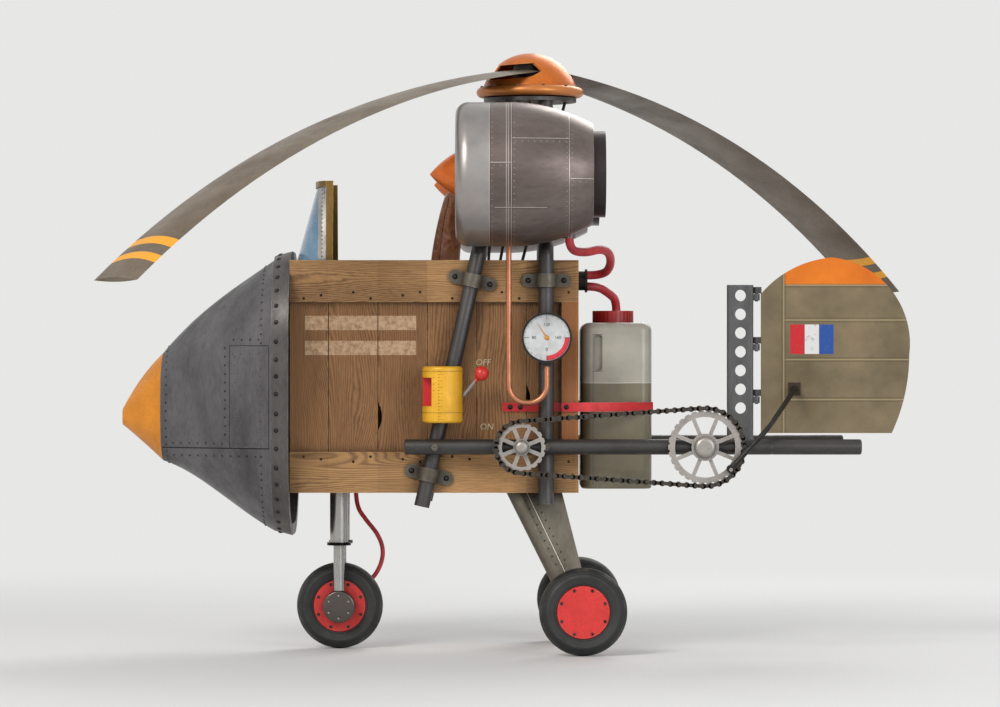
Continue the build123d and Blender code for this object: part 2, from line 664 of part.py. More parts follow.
save("nose_tyre", tyre_body(NOSE_WHEEL_X, 0, TYRE_WIDTH))
save("nose_rim", rim_body(NOSE_WHEEL_X, 0, TYRE_WIDTH))
OLEO_Y = TYRE_WIDTH / 2 + WHEEL_GAP + OLEO_R
legs = []
for side, sign in SIDES:
    y = sign * OLEO_Y
    barrel = rod_between((NOSE_WHEEL_X, y, OLEO_BOTTOM_Z), (NOSE_WHEEL_X, y, CRATE_BOTTOM_Z), OLEO_R)
    collar = rod_between((NOSE_WHEEL_X, y, OLEO_BOTTOM_Z), (NOSE_WHEEL_X, y, OLEO_BOTTOM_Z + 12), OLEO_R + 12)
    collar &= block(-1e3, 0, *sorted((sign * (TYRE_WIDTH / 2 + WHEEL_GAP - 5), sign * 300)), 0, 1e3)
    piston = rod_between((NOSE_WHEEL_X, y, TYRE_R), (NOSE_WHEEL_X, y, OLEO_BOTTOM_Z + 1), PISTON_R)
    inner = sign * (TYRE_WIDTH / 2 + WHEEL_GAP)
    cover = across(NOSE_WHEEL_X, TYRE_R, HUB_COVER_R, *sorted((inner + sign * 6, inner + sign * 62)))
    cover = fillet(cover.edges(), 8)
    legs.append(barrel + collar + piston + cover)
save("nose_leg_left", legs[0])
save("nose_leg_right", legs[1])
axle_half = TYRE_WIDTH / 2 + WHEEL_GAP + 6
save("nose_axle", across(NOSE_WHEEL_X, TYRE_R, AXLE_R, -axle_half, axle_half))

for side, sign in SIDES:
    y = sign * MAIN_WHEEL_Y
    save(f"main_tyre_{side}", tyre_body(MAIN_WHEEL_X, y, TYRE_WIDTH))
    rim = rim_body(MAIN_WHEEL_X, y, TYRE_WIDTH)
    outer_face = y + sign * (TYRE_WIDTH / 2 - 8)
    rim += across(MAIN_WHEEL_X, TYRE_R, RIM_R - 5, *sorted((outer_face - sign * 6, outer_face + sign * 3)))
    save(f"main_rim_{side}", rim)
    top_y = sign * (HALF_W - RAIL_THICK - 60)
    foot_y = y - sign * (TYRE_WIDTH / 2 + WHEEL_GAP + LEG_FOOT_THICK / 2)
    leg = loft(
        [
            gear_leg_section(CRATE_BOTTOM_Z, LEG_TOP_X, top_y, LEG_TOP_CHORD, LEG_TOP_THICK),
            gear_leg_section(TYRE_R - 40, MAIN_WHEEL_X, foot_y, LEG_FOOT_CHORD, LEG_FOOT_THICK),
        ],
        ruled=True,
    )
    axle = across(MAIN_WHEEL_X, TYRE_R, AXLE_R, *sorted((foot_y, outer_face - sign * 12)))
    save(f"main_leg_{side}", leg + axle)

# Tail: a perforated channel post on the cross tube, with the rudder hinged behind it

tail_post = block(
    POST_TAIL_X,
    POST_TAIL_X + TAIL_POST_WIDTH,
    -TAIL_POST_DEPTH / 2,
    TAIL_POST_DEPTH / 2,
    BOOM_Z - 34,
    TAIL_POST_TOP_Z,
)
tail_post = fillet(tail_post.edges().filter_by(Axis.Z), 8)
# Open along its front: a channel with a web at each side face
tail_post -= block(
    POST_TAIL_X - 1,
    POST_TAIL_X + TAIL_POST_WIDTH - TAIL_POST_WALL,
    -TAIL_POST_DEPTH / 2 + TAIL_POST_WALL,
    TAIL_POST_DEPTH / 2 - TAIL_POST_WALL,
    BOOM_Z - 40,
    TAIL_POST_TOP_Z + 1,
)
hole_z = TAIL_POST_TOP_Z - 42
tail_hole_x = POST_TAIL_X + 0.52 * TAIL_POST_WIDTH
for index in range(TAIL_HOLES):
    tail_post -= across(tail_hole_x, hole_z - index * TAIL_HOLE_PITCH, TAIL_HOLE_R, -60, 60)
tail_post -= across(CROSS_TUBE_X, BOOM_Z, TUBE_R - 4 + TUBE_GAP, -60, 60)
HINGE_PIN_R = 7
KNUCKLE_R = 13
KNUCKLE_LENGTH = 26
KNUCKLES = (980, 1190, 1390)
POST_REAR_X = POST_TAIL_X + TAIL_POST_WIDTH
HINGE_LINE_X = POST_REAR_X + KNUCKLE_R + 1
for z in KNUCKLES:
    ear = rod_between((HINGE_LINE_X, 0, z), (HINGE_LINE_X, 0, z + KNUCKLE_LENGTH), KNUCKLE_R)
    ear += block(POST_REAR_X - 2, HINGE_LINE_X, -KNUCKLE_R, KNUCKLE_R, z, z + KNUCKLE_LENGTH)
    above_ear = (HINGE_LINE_X, 0, z + KNUCKLE_LENGTH + 1)
    ear -= rod_between((HINGE_LINE_X, 0, z - 1), above_ear, HINGE_PIN_R + 0.05)
    tail_post += ear
save("tail_post", tail_post)

RUDDER_FRONT_X = HINGE_LINE_X + KNUCKLE_R + RUDDER_GAP
rudder_edge = [
    Line((RUDDER_FRONT_X, RUDDER_BOTTOM_Z), (RUDDER_FRONT_X, 1416)),
    ThreePointArc((RUDDER_FRONT_X, 1416), (1064, 1524), (1206, 1562)),
    ThreePointArc((1206, 1562), (1427, 1452), (1516, 1174)),
    ThreePointArc((1516, 1174), (1490, 980), (1446, RUDDER_BOTTOM_Z)),
    Line((1446, RUDDER_BOTTOM_Z), (RUDDER_FRONT_X, RUDDER_BOTTOM_Z)),
]
rudder = extrude(Plane.XZ * make_face(rudder_edge), RUDDER_THICK / 2, both=True)
for z in KNUCKLES:
    low = z + KNUCKLE_LENGTH + 2
    pin_low = z - 4
    knuckle = rod_between((HINGE_LINE_X, 0, low), (HINGE_LINE_X, 0, low + KNUCKLE_LENGTH), KNUCKLE_R)
    web = RUDDER_THICK / 2 - 4
    knuckle += block(HINGE_LINE_X, RUDDER_FRONT_X + 2, -web, web, low, low + KNUCKLE_LENGTH)
    knuckle += rod_between((HINGE_LINE_X, 0, pin_low), (HINGE_LINE_X, 0, low + 2), HINGE_PIN_R)
    rudder += knuckle
EYE_X = 1056
EYE_Z = 1036
EYE_PLATE = 50
for side, sign in SIDES:
    y0 = sign * RUDDER_THICK / 2
    plate_y = sorted((y0 - sign, y0 + sign * 5))
    plate_x = (EYE_X - EYE_PLATE / 2, EYE_X + EYE_PLATE / 2)
    rudder += block(*plate_x, *plate_y, EYE_Z - 26, EYE_Z + 26)
ROD_R = 10
BALL_R = 15
BALL_GAP = 8
eye = Vector(EYE_X, -(RUDDER_THICK / 2 + 5 + BALL_GAP + BALL_R), EYE_Z)
save("rudder", rudder)

# Chain drive: two spoked sprockets on stub shafts, inside one fixed loop of plates and rollers

CHAIN_Y = BOOM_Y + TUBE_R + 20
SMALL_R = SMALL_TEETH * CHAIN_PITCH / (2 * math.pi)
BIG_R = BIG_TEETH * CHAIN_PITCH / (2 * math.pi)


def loop_length(centres):
    turn = math.asin((BIG_R - SMALL_R) / centres)
    return 2 * centres * math.cos(turn) + BIG_R * (math.pi + 2 * turn) + SMALL_R * (math.pi - 2 * turn)


centres = 2 * BIG_R * 2
for _ in range(40):
    centres += (CHAIN_LINKS * CHAIN_PITCH - loop_length(centres)) / 2
BIG_X = SMALL_X + centres
WRAP = math.asin((BIG_R - SMALL_R) / centres)
CHAIN_FACE = Plane(origin=(SMALL_X, -CHAIN_Y, BOOM_Z), x_dir=(1, 0, 0), z_dir=(0, -1, 0))


def loop_face(offset):
    small, big = SMALL_R + offset, BIG_R + offset
    c, s = math.sin(WRAP), math.cos(WRAP)
    small_top, small_low = (-small * c, small * s), (-small * c, -small * s)
    big_top, big_low = (centres - big * c, big * s), (centres - big * c, -big * s)
    return make_face(
        [
            ThreePointArc(small_top, (-small, 0), small_low),
            Line(small_low, big_low),
            ThreePointArc(big_low, (centres + big, 0), big_top),
            Line(big_top, small_top),
        ]
    )


def roller_place(travel):
    # Centre of a roller, a distance along the pitch line from the small sprocket's top
    straight = centres * math.cos(WRAP)
    round_big = BIG_R * (math.pi + 2 * WRAP)
    if travel < straight:
        along, out = travel, SMALL_R
        x = -SMALL_R * math.sin(WRAP) + along * math.cos(WRAP)
        z = SMALL_R * math.cos(WRAP) + along * math.sin(WRAP)
        return x, z
    travel -= straight
    if travel < round_big:
        angle = math.pi / 2 + WRAP - travel / BIG_R
        return centres + BIG_R * math.cos(angle), BIG_R * math.sin(angle)
    travel -= round_big
    if travel < straight:
        x = centres - BIG_R * math.sin(WRAP) - travel * math.cos(WRAP)
        z = -BIG_R * math.cos(WRAP) + travel * math.sin(WRAP)
        return x, z
    travel -= straight
    angle = -math.pi / 2 - WRAP - travel / SMALL_R
    return SMALL_R * math.cos(angle), SMALL_R * math.sin(angle)


band = loop_face(LINK_HEIGHT / 2) - loop_face(-LINK_HEIGHT / 2)
inner_half = CHAIN_INNER / 2
chain = extrude(CHAIN_FACE.offset(inner_half) * band, LINK_PLATE)
chain += extrude(CHAIN_FACE.offset(-inner_half - LINK_PLATE) * band, LINK_PLATE)
roller_width = CHAIN_INNER + 2 * LINK_PLATE
rollers = []
for index in range(CHAIN_LINKS):
    x, z = roller_place(index * CHAIN_PITCH)
    roller = Pos(x, z) * RegularPolygon(ROLLER_R, 6)
    rollers.append(extrude(CHAIN_FACE.offset(-roller_width / 2) * roller, roller_width))
chain = chain + rollers
save("chain", chain)


def sprocket(x, teeth, pitch_r, rim_width, hub_r, cap_r):
    tip_r = pitch_r - ROLLER_R - ROLLER_GAP
    ring = Circle(tip_r) - Circle(tip_r - rim_width)
    for index in range(teeth):
        angle = 360 / teeth * (index + 0.5)
        ring -= Rot(0, 0, angle) * (Pos(tip_r + 1, 0) * Circle(ROLLER_R * 0.8))
    for index in range(SPOKES):
        rim_inner_r = tip_r - rim_width
        spoke = Pos((rim_inner_r + hub_r) / 2, 0) * Rectangle(rim_inner_r - hub_r + 6, SPOKE_WIDTH)
        ring += Rot(0, 0, 360 / SPOKES * (index + 0.5)) * spoke
    face = Plane(origin=(x, -CHAIN_Y, BOOM_Z), x_dir=(1, 0, 0), z_dir=(0, -1, 0))
    wheel = extrude(face.offset(-SPROCKET_THICK / 2) * ring, SPROCKET_THICK)
    hub = Pos(0, 0, -12) * Cylinder(hub_r, 22, align=(Align.CENTER, Align.CENTER, Align.MIN))
    hub += Pos(0, 0, 10) * Cylinder(cap_r, 22, align=(Align.CENTER, Align.CENTER, Align.MIN))
    hub = fillet(hub.edges().sort_by(Axis.Z)[-1], min(cap_r, 20) - 1)
    hub -= Pos(0, 0, -13) * Cylinder(STUB_R + 0.05, 31, align=(Align.CENTER, Align.CENTER, Align.MIN))
    return wheel + face * hub


SPOKE_WIDTH = 15
STUB_R = 12
for x in (SMALL_X, BIG_X):
    booms["left"] += across(x, BOOM_Z, STUB_R, -(BOOM_Y + TUBE_R + 36), -BOOM_Y)
for side, sign in SIDES:
    save(f"boom_{side}", booms[side])
CRANK_R = 128
CRANK_ANGLE = -41
CRANK_PIN_R = 7
ROD_EYE_WIDTH = 18
ROD_SWING_AXIS = (0.11491, -0.97698, -0.17974)
ROD_Y = CHAIN_Y + 34
small_sprocket = sprocket(SMALL_X, SMALL_TEETH, SMALL_R, SMALL_RIM, 32, 28)
save("sprocket_small", small_sprocket)
big_sprocket = sprocket(BIG_X, BIG_TEETH, BIG_R, BIG_RIM, 53, 43)
crank_x = BIG_X + CRANK_R * math.cos(math.radians(CRANK_ANGLE))
crank_z = BOOM_Z + CRANK_R * math.sin(math.radians(CRANK_ANGLE))
crank = Vector(crank_x, -ROD_Y, crank_z)


def about_swing(inner, outer, radius):
    # A cylinder on the axis that the rod swings about, between two distances from the crank
    along = Vector(*ROD_SWING_AXIS)
    return rod_between(tuple(crank + along * inner), tuple(crank + along * outer), radius)


pin_foot = (ROD_Y - CHAIN_Y) / ROD_SWING_AXIS[1]
big_sprocket += about_swing(pin_foot, ROD_EYE_WIDTH / 2 + 3, CRANK_PIN_R)
save("sprocket_big", big_sprocket)

# Push rod: cranked so that it runs outside the chain, then in to the ball on the rudder
bend = crank + (eye - crank) * 0.52
bend = Vector(bend.X, -ROD_Y, bend.Z)
rod_path = FilletPolyline(crank, bend, eye, radius=90)
rod = sweep(Plane(origin=rod_path @ 0, z_dir=rod_path % 0) * Circle(ROD_R), path=rod_path)
rod += Pos(*eye) * Sphere(BALL_R)
rod += about_swing(-ROD_EYE_WIDTH / 2, ROD_EYE_WIDTH / 2, BALL_R)
rod -= about_swing(-ROD_EYE_WIDTH, ROD_EYE_WIDTH, CRANK_PIN_R + BEARING_GAP)
save("push_rod", rod)
print("rod pivots", crank, eye, "big sprocket", BIG_X)

# Fuel tank behind the crate: a rounded plastic can with a ribbed screw cap, held by a red strap

TANK_X0 = CRATE_REAR_X + 12
TANK_LENGTH = 280
TANK_HALF_Y = 215
TANK_CORNER = 46
TANK_BOTTOM_Z = 644
TANK_TOP_Z = 1300
CAP_R = 82
CAP_X = TANK_X0 + 0.47 * TANK_LENGTH
CAP_HEIGHT = 48
STRAP_Z = 950
STRAP_HEIGHT = 36
STRAP_THICK = 5
STRAP_FRONT_X = -112

tank = block(TANK_X0, TANK_X0 + TANK_LENGTH, -TANK_HALF_Y, TANK_HALF_Y, TANK_BOTTOM_Z, TANK_TOP_Z)
tank = fillet(tank.edges().filter_by(Axis.Z), TANK_CORNER)
tank = fillet(tank.faces().sort_by(Axis.Z)[-1].edges(), 34)
tank = fillet(tank.faces().sort_by(Axis.Z)[0].edges(), 10)
grip = block(TANK_X0 + 50, TANK_X0 + 84, -TANK_HALF_Y - 1, -TANK_HALF_Y + 18, 1110, 1252)
tank -= fillet(grip.edges().filter_by(Axis.Y), 12)
tank += Pos(CAP_X, 0, TANK_TOP_Z - 1) * Cylinder(CAP_R - 12, 20, align=FOOT)
save("fuel_tank", tank)
cap_face = Circle(CAP_R)
for index in range(30):
    cap_face -= Rot(0, 0, 360 / 30 * index) * (Pos(CAP_R, 0) * Rectangle(6, 7))
cap = extrude(Plane(origin=(CAP_X, 0, TANK_TOP_Z + 0.3)) * cap_face, CAP_HEIGHT)
cap -= Pos(CAP_X, 0, TANK_TOP_Z - 1) * Cylinder(CAP_R - 11.7, 20.5, align=FOOT)
save("tank_cap", cap)

TANK_X1 = TANK_X0 + TANK_LENGTH
corner_share = TANK_CORNER * (math.sqrt(2) - 1)
strap_points = [
    (CRATE_REAR_X - CORNER_POST, HALF_W),
    (CRATE_REAR_X + 8, HALF_W),
    (TANK_X1 - TANK_CORNER + corner_share, TANK_HALF_Y + 0.3),
    (TANK_X1 + 0.3, TANK_HALF_Y - TANK_CORNER + corner_share),
    (TANK_X1 + 0.3, 0),
]
# How far each point moves out for the strap's outer face
STRAP_OUT = ((0, 1), (0.2, 1), (0.6, 0.8), (1, 0.4), (1, 0))
strap_outer = [
    (x + STRAP_THICK * dx, y + STRAP_THICK * dy) for (x, y), (dx, dy) in zip(strap_points, STRAP_OUT)
]
strap_half = make_face(Polyline(*strap_points, *strap_outer[::-1], strap_points[0]))
strap_face = strap_half + mirror(strap_half, Plane.XZ)
straps = [extrude(Plane(origin=(0, 0, STRAP_Z)) * strap_face, STRAP_HEIGHT)]
for side, sign in SIDES:
    y0 = sign * (HALF_W - RAIL_THICK)
    low, high = sorted((y0, y0 + sign * STRAP_THICK))
    strap_rear_x = CRATE_REAR_X - CORNER_POST
    straps.append(block(STRAP_FRONT_X, strap_rear_x, low, high, STRAP_Z, STRAP_Z + STRAP_HEIGHT))
save("red_straps", Compound(children=[solid for part in straps for solid in part.solids()]))

# Valve on the leaning post: a yellow body clamped round the tube, with a knobbed lever

VALVE_R = 78
VALVE_HEIGHT = 220
VALVE_Z = 908
VALVE_X = -344
VALVE_Y = -(SIDE_Y + 62)
valve = Pos(VALVE_X, VALVE_Y, VALVE_Z) * Cylinder(VALVE_R, VALVE_HEIGHT, align=FOOT)
valve = fillet(valve.edges(), 12)
window_x = (VALVE_X - VALVE_R - 2, VALVE_X - 42)
window_y = (VALVE_Y - VALVE_R - 2, VALVE_Y + 10)
window = block(*window_x, *window_y, VALVE_Z + 66, VALVE_Z + 176)
valve -= window
lean_tube = rod_between(
    (lean_x(VALVE_Z - 50), -SIDE_Y, VALVE_Z - 50),
    (lean_x(VALVE_Z + 300), -SIDE_Y, VALVE_Z + 300),
    TUBE_R + TUBE_GAP,
)
valve -= lean_tube
valve -= block(-900, 300, -HALF_W - 4, 400, 500, 1500)
save("valve_body", max(valve.solids(), key=lambda solid: solid.volume))
LEVER_HEAD = (-192, VALVE_Y - 10, 1100)
lever = rod_between((VALVE_X + VALVE_R + 5, VALVE_Y - 10, 1015), LEVER_HEAD, 7)
lever += Pos(*LEVER_HEAD) * Sphere(29)
save("valve_lever", lever)

# Gauge and its copper pipe, which drops from the left pod and turns up under the dial

GAUGE_X = 62
GAUGE_Z = 1240
GAUGE_R = 98
GAUGE_DEPTH = 44
GAUGE_Y = -(SIDE_Y + TUBE_R + 12)
gauge = across(GAUGE_X, GAUGE_Z, GAUGE_R, GAUGE_Y - GAUGE_DEPTH, GAUGE_Y)
gauge -= across(GAUGE_X, GAUGE_Z, GAUGE_R - 8, GAUGE_Y - GAUGE_DEPTH - 1, GAUGE_Y - GAUGE_DEPTH + 6)
gauge = fillet(gauge.faces().sort_by(Axis.Y)[-1].edges(), 12)
gauge += across(GAUGE_X, GAUGE_Z, 22, GAUGE_Y - 1, GAUGE_Y + 11.7)
gauge_foot_z = GAUGE_Z - GAUGE_R
gauge += block(GAUGE_X - 17, GAUGE_X + 17, GAUGE_Y - 36, GAUGE_Y - 6, gauge_foot_z - 14, gauge_foot_z + 10)
save("gauge", gauge)
PIPE_R = 11
PIPE_X = -86
PIPE_BEND_R = 70
PIPE_LOW_Z = 986
PIPE_Y = GAUGE_Y - 21
pipe_top = (PIPE_X, PIPE_Y, POD_Z - POD_R + 40)
pipe_points = [
    pipe_top,
    (PIPE_X, PIPE_Y, PIPE_LOW_Z),
    (GAUGE_X, PIPE_Y, PIPE_LOW_Z),
    (GAUGE_X, PIPE_Y, GAUGE_Z - GAUGE_R - 14),
]
pipe = bent_tube(pipe_points, PIPE_BEND_R, PIPE_R)
save("copper_pipe", max((pipe - pods["left"]).solids(), key=lambda solid: solid.volume))

# Black control rods between the deck and the head plate

# foot x, head x
CONTROL_RODS = ((-166, -128), (-120, 0), (-32, 140))
CONTROL_ROD_R = 6
rods = [
    rod_between((low, 0, CRATE_TOP_Z), (high, 0, HEAD_PLATE_Z), CONTROL_ROD_R)
    for low, high in CONTROL_RODS
]
trim = block(-500, 500, -50, 50, HEAD_PLATE_Z, HEAD_PLATE_Z + 50)
trim += block(-500, 500, -50, 50, CRATE_TOP_Z - 50, CRATE_TOP_Z)
save("control_rods", Compound(children=[rod - trim for rod in rods]))

# Gland on the crate's rear wall, and the hoses: each a chain of straight runs and tangent arcs

GLAND_Y = -140
GLAND_Z = 1466
GLAND_R = 46
GLAND_X1 = CRATE_REAR_X + 38
gland = rod_between((CRATE_REAR_X, GLAND_Y, GLAND_Z), (GLAND_X1, GLAND_Y, GLAND_Z), GLAND_R - 8)
gland += rod_between((GLAND_X1 - 10, GLAND_Y, GLAND_Z), (GLAND_X1, GLAND_Y, GLAND_Z), GLAND_R)
save("hose_gland", gland)

HOSE_BEND_SHARE = 0.45


def hose(name, points, radius):
    route = [Vector(*point) for point in points]
    radii = []
    for before, corner, after in zip(route, route[1:], route[2:]):
        turn = math.radians((corner - before).get_angle(after - corner))
        run = min((corner - before).length, (after - corner).length)
        radii.append(HOSE_BEND_SHARE * run / math.tan(turn / 2))
    path = FilletPolyline(*route, radius=radii)
    tube = sweep(Plane(origin=path @ 0, z_dir=path % 0) * Circle(radius), path=path)
    wanted = math.pi * radius**2 * path.length
    share = tube.volume / wanted
    print(name, "radii", [round(r) for r in radii], "length", round(path.length), "volume share", share)
    save(name, tube)


HOSE_R = 17
BRAKE_HOSE_R = 9
hose(
    "fuel_hose_upper",
    [
        (HOSE_EXIT_X, HOSE_EXIT_Y, HOSE_EXIT_Z),
        (HOSE_EXIT_X, HOSE_EXIT_Y, 1580),
        (215, -405, 1570),
        (275, -360, 1588),
        (312, -290, 1572),
        (318, -215, 1524),
        (290, GLAND_Y - 4, 1488),
        (GLAND_X1 + 0.3, GLAND_Y - 4, 1488),
    ],
    HOSE_R,
)
hose(
    "fuel_hose_lower",
    [
        (GLAND_X1 + 0.3, GLAND_Y + 6, 1444),
        (268, GLAND_Y + 6, 1444),
        (312, -92, 1418),
        (344, -32, 1392),
        (344, -32, TANK_TOP_Z + CAP_HEIGHT + 0.3),
    ],
    HOSE_R,
)
OLEO_INNER = TYRE_WIDTH / 2 + WHEEL_GAP
hose(
    "brake_hose",
    [
        (-700, 112, CRATE_BOTTOM_Z - 0.3),
        (-700, 112, 566),
        (-660, 112, 508),
        (-612, 110, 452),
        (-588, 108, 388),
        (-600, 104, 322),
        (-640, 98, 262),
        (NOSE_WHEEL_X + (HUB_COVER_R + 3) * math.cos(math.radians(40)), 94,
         TYRE_R + (HUB_COVER_R + 3) * math.sin(math.radians(40))),
    ],
    BRAKE_HOSE_R,
)

# The part's origin is on the ground midway between the nose's tip and the rearmost blade tip

front_x = min(shape.bounding_box().min.X for shape in nodes.values())
rear_x = max(shape.bounding_box().max.X for shape in nodes.values())
shift = Location((-(front_x + rear_x) / 2, 0, 0))
print("rotor axis at X", -(front_x + rear_x) / 2)
for node, shape in nodes.items():
    solids = [solid.moved(shift) for solid in shape.solids()]
    export_step(solids[0] if len(solids) == 1 else Compound(children=solids), f"parts/{node}.step")
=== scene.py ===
import json
import math

import bmesh
import bpy
from mathutils import Matrix, Vector
from mathutils.bvhtree import BVHTree

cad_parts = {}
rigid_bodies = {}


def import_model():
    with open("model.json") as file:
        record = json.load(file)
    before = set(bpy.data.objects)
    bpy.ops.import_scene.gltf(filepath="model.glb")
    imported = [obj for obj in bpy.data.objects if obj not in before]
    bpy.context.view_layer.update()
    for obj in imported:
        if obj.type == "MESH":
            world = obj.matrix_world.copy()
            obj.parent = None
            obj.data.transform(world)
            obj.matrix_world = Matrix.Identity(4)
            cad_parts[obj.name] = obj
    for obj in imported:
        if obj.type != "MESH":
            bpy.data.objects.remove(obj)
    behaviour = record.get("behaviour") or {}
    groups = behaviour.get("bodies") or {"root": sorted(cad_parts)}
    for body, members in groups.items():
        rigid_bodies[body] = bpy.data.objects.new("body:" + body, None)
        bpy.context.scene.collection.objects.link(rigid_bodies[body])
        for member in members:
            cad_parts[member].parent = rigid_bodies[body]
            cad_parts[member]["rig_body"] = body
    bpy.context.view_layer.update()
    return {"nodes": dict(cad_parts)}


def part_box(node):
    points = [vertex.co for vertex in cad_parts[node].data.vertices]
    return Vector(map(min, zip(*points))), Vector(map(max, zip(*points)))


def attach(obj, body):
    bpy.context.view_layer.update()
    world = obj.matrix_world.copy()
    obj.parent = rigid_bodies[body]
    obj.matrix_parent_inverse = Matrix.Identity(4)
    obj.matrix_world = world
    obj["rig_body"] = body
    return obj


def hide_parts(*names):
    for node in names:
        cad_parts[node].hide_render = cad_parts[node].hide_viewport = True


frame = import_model()

# Where the helicopter stands: a plain pale floor under soft studio lamps, with the camera square to
# its left side. Lengths along x are counted from the rotor's axis, which the head plate is centred on.
AXIS_X = sum(corner.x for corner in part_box("head_plate")) / 2
CAMERA_X = AXIS_X - 0.12
CAMERA_DISTANCE = 16
CAMERA_HEIGHT = 1.178
CAMERA_LENS = 144
FLOOR_SIZE = 160
LAMPS = (
    # name, place, size, power, colour
    ("key", (-5.5, -8.5, 7.5), 5.0, 760, (1.0, 0.97, 0.93)),
    ("fill", (6.5, -9.0, 3.5), 6.0, 330, (0.93, 0.96, 1.0)),
    ("back", (3.5, 8.0, 7.0), 6.0, 520, (1.0, 0.98, 0.95)),
)


def put(tree, socket, value):
    # A socket takes either another node's output or a plain value
    if isinstance(value, bpy.types.NodeSocket):
        tree.links.new(value, socket)
    else:
        socket.default_value = value


def add(tree, kind, inputs=None, **settings):
    made = tree.nodes.new(kind)
    for name, value in settings.items():
        setattr(made, name, value)
    for key, value in (inputs or {}).items():
        put(tree, made.inputs[key], value)
    return made


camera_lens = bpy.data.cameras.new("camera")
camera_lens.lens = CAMERA_LENS
camera_lens.clip_end = 200
camera = bpy.data.objects.new("camera", camera_lens)
camera.location = (CAMERA_X, -CAMERA_DISTANCE, CAMERA_HEIGHT)
camera.rotation_euler = (math.radians(90), 0, 0)
bpy.context.scene.collection.objects.link(camera)
bpy.context.scene.camera = camera
bpy.context.scene.view_settings.view_transform = "Standard"

for name, place, size, power, colour in LAMPS:
    lamp = bpy.data.lights.new(name, "AREA")
    lamp.shape = "DISK"
    lamp.size = size
    lamp.energy = power
    lamp.color = colour
    lamp_object = bpy.data.objects.new(name, lamp)
    lamp_object.location = place
    aim = Vector((0, 0, 1.0)) - Vector(place)
    lamp_object.rotation_euler = aim.to_track_quat("-Z", "Y").to_euler()
    bpy.context.scene.collection.objects.link(lamp_object)

world = bpy.data.worlds.new("studio")
world.use_nodes = True
bpy.context.scene.world = world
sky = world.node_tree.nodes["Background"]
seen = add(world.node_tree, "ShaderNodeLightPath")
direct = add(world.node_tree, "ShaderNodeMath", {0: seen.outputs["Is Camera Ray"],
                                                 1: seen.outputs["Is Glossy Ray"]},
             operation="MAXIMUM")
shown = add(world.node_tree, "ShaderNodeMath", {0: direct.outputs[0], 1: seen.outputs["Is Transmission Ray"]},
            operation="MAXIMUM")
sky_colour = add(world.node_tree, "ShaderNodeMix", {0: shown.outputs[0]}, data_type="RGBA")
sky_colour.inputs[6].default_value = (0.40, 0.41, 0.43, 1)
sky_colour.inputs[7].default_value = (0.80, 0.80, 0.79, 1)
world.node_tree.links.new(sky_colour.outputs[2], sky.inputs["Color"])

floor_mesh = bpy.data.meshes.new("floor")
half = FLOOR_SIZE / 2
floor_mesh.from_pydata([(-half, -half, 0), (half, -half, 0), (half, half, 0), (-half, half, 0)], [],
                       [(0, 1, 2, 3)])
floor = bpy.data.objects.new("floor", floor_mesh)
bpy.context.scene.collection.objects.link(floor)
floor_finish = bpy.data.materials.new("pale_floor")
floor_finish.use_nodes = True
floor_shader = floor_finish.node_tree.nodes["Principled BSDF"]
floor_shader.inputs["Base Color"].default_value = (0.74, 0.74, 0.73, 1)
floor_shader.inputs["Roughness"].default_value = 0.85
# Far from the object the floor is seen in the sky's own colour
floor_tree = floor_finish.node_tree
floor_place = add(floor_tree, "ShaderNodeTexCoord").outputs["Object"]
floor_far = add(floor_tree, "ShaderNodeVectorMath", {0: floor_place}, operation="LENGTH").outputs["Value"]
floor_fade = add(floor_tree, "ShaderNodeMapRange", {"Value": floor_far, "From Min": 2.2, "From Max": 6.5},
                 interpolation_type="SMOOTHSTEP").outputs[0]
floor_seen = add(floor_tree, "ShaderNodeLightPath")
floor_direct = add(floor_tree, "ShaderNodeMath", {0: floor_seen.outputs["Is Camera Ray"],
                                                  1: floor_seen.outputs["Is Glossy Ray"]}, operation="MAXIMUM")
floor_direct = add(floor_tree, "ShaderNodeMath", {0: floor_direct.outputs[0],
                                                  1: floor_seen.outputs["Is Transmission Ray"]},
                   operation="MAXIMUM")
floor_share = add(floor_tree, "ShaderNodeMath", {0: floor_direct.outputs[0], 1: floor_fade},
                  operation="MULTIPLY")
floor_glow = add(floor_tree, "ShaderNodeEmission", {"Color": (0.80, 0.80, 0.79, 1)})
floor_mix = add(floor_tree, "ShaderNodeMixShader", {0: floor_share.outputs[0], 1: floor_shader.outputs[0],
                                                    2: floor_glow.outputs[0]})
floor_tree.links.new(floor_mix.outputs[0], floor_tree.nodes["Material Output"].inputs["Surface"])
floor_mesh.materials.append(floor_finish)

# Crate: rough-sawn pine planks standing between two thicker rails on each side, nailed through in
# pairs, with a darker corner post at the rear. The inside walls, floor, deck and seat box are the same pine.
BODY = "frame"
RAIL_TOP_Z = 1.544
RAIL_FOOT_Z = 0.632
TOP_RAIL = 0.164
FOOT_RAIL = 0.160
CRATE_FRONT = AXIS_X - 0.944
CRATE_REAR = AXIS_X + 0.188
CRATE_HALF = 0.330
PLANK_FACE = 0.306
PLANK_PITCH = 0.194
FIRST_PLANK_EDGE = CRATE_FRONT + 0.151
PINE = {"light": (168, 122, 78), "dark": (82, 54, 33), "rail": (196, 150, 98), "post": (172, 104, 52),
        "paint": (206, 172, 138)}
GAP_BATTEN = ((AXIS_X - 0.055, AXIS_X + 0.065), (0.2700, 0.2838), (0.900, 1.100))
PALE_BAR_X = (AXIS_X - 0.885, AXIS_X - 0.449)
PALE_BARS = ((1.172, 1.228), (1.270, 1.326))
NAIL_R = 0.0055
NAIL_PITCH = 0.194
NAIL_GAP = 0.068


def srgb(red, green, blue):
    # A colour as it looks on screen, as the linear values that a shader takes
    linear = [(value / 255) ** 2.2 for value in (red, green, blue)]
    return (*linear, 1.0)


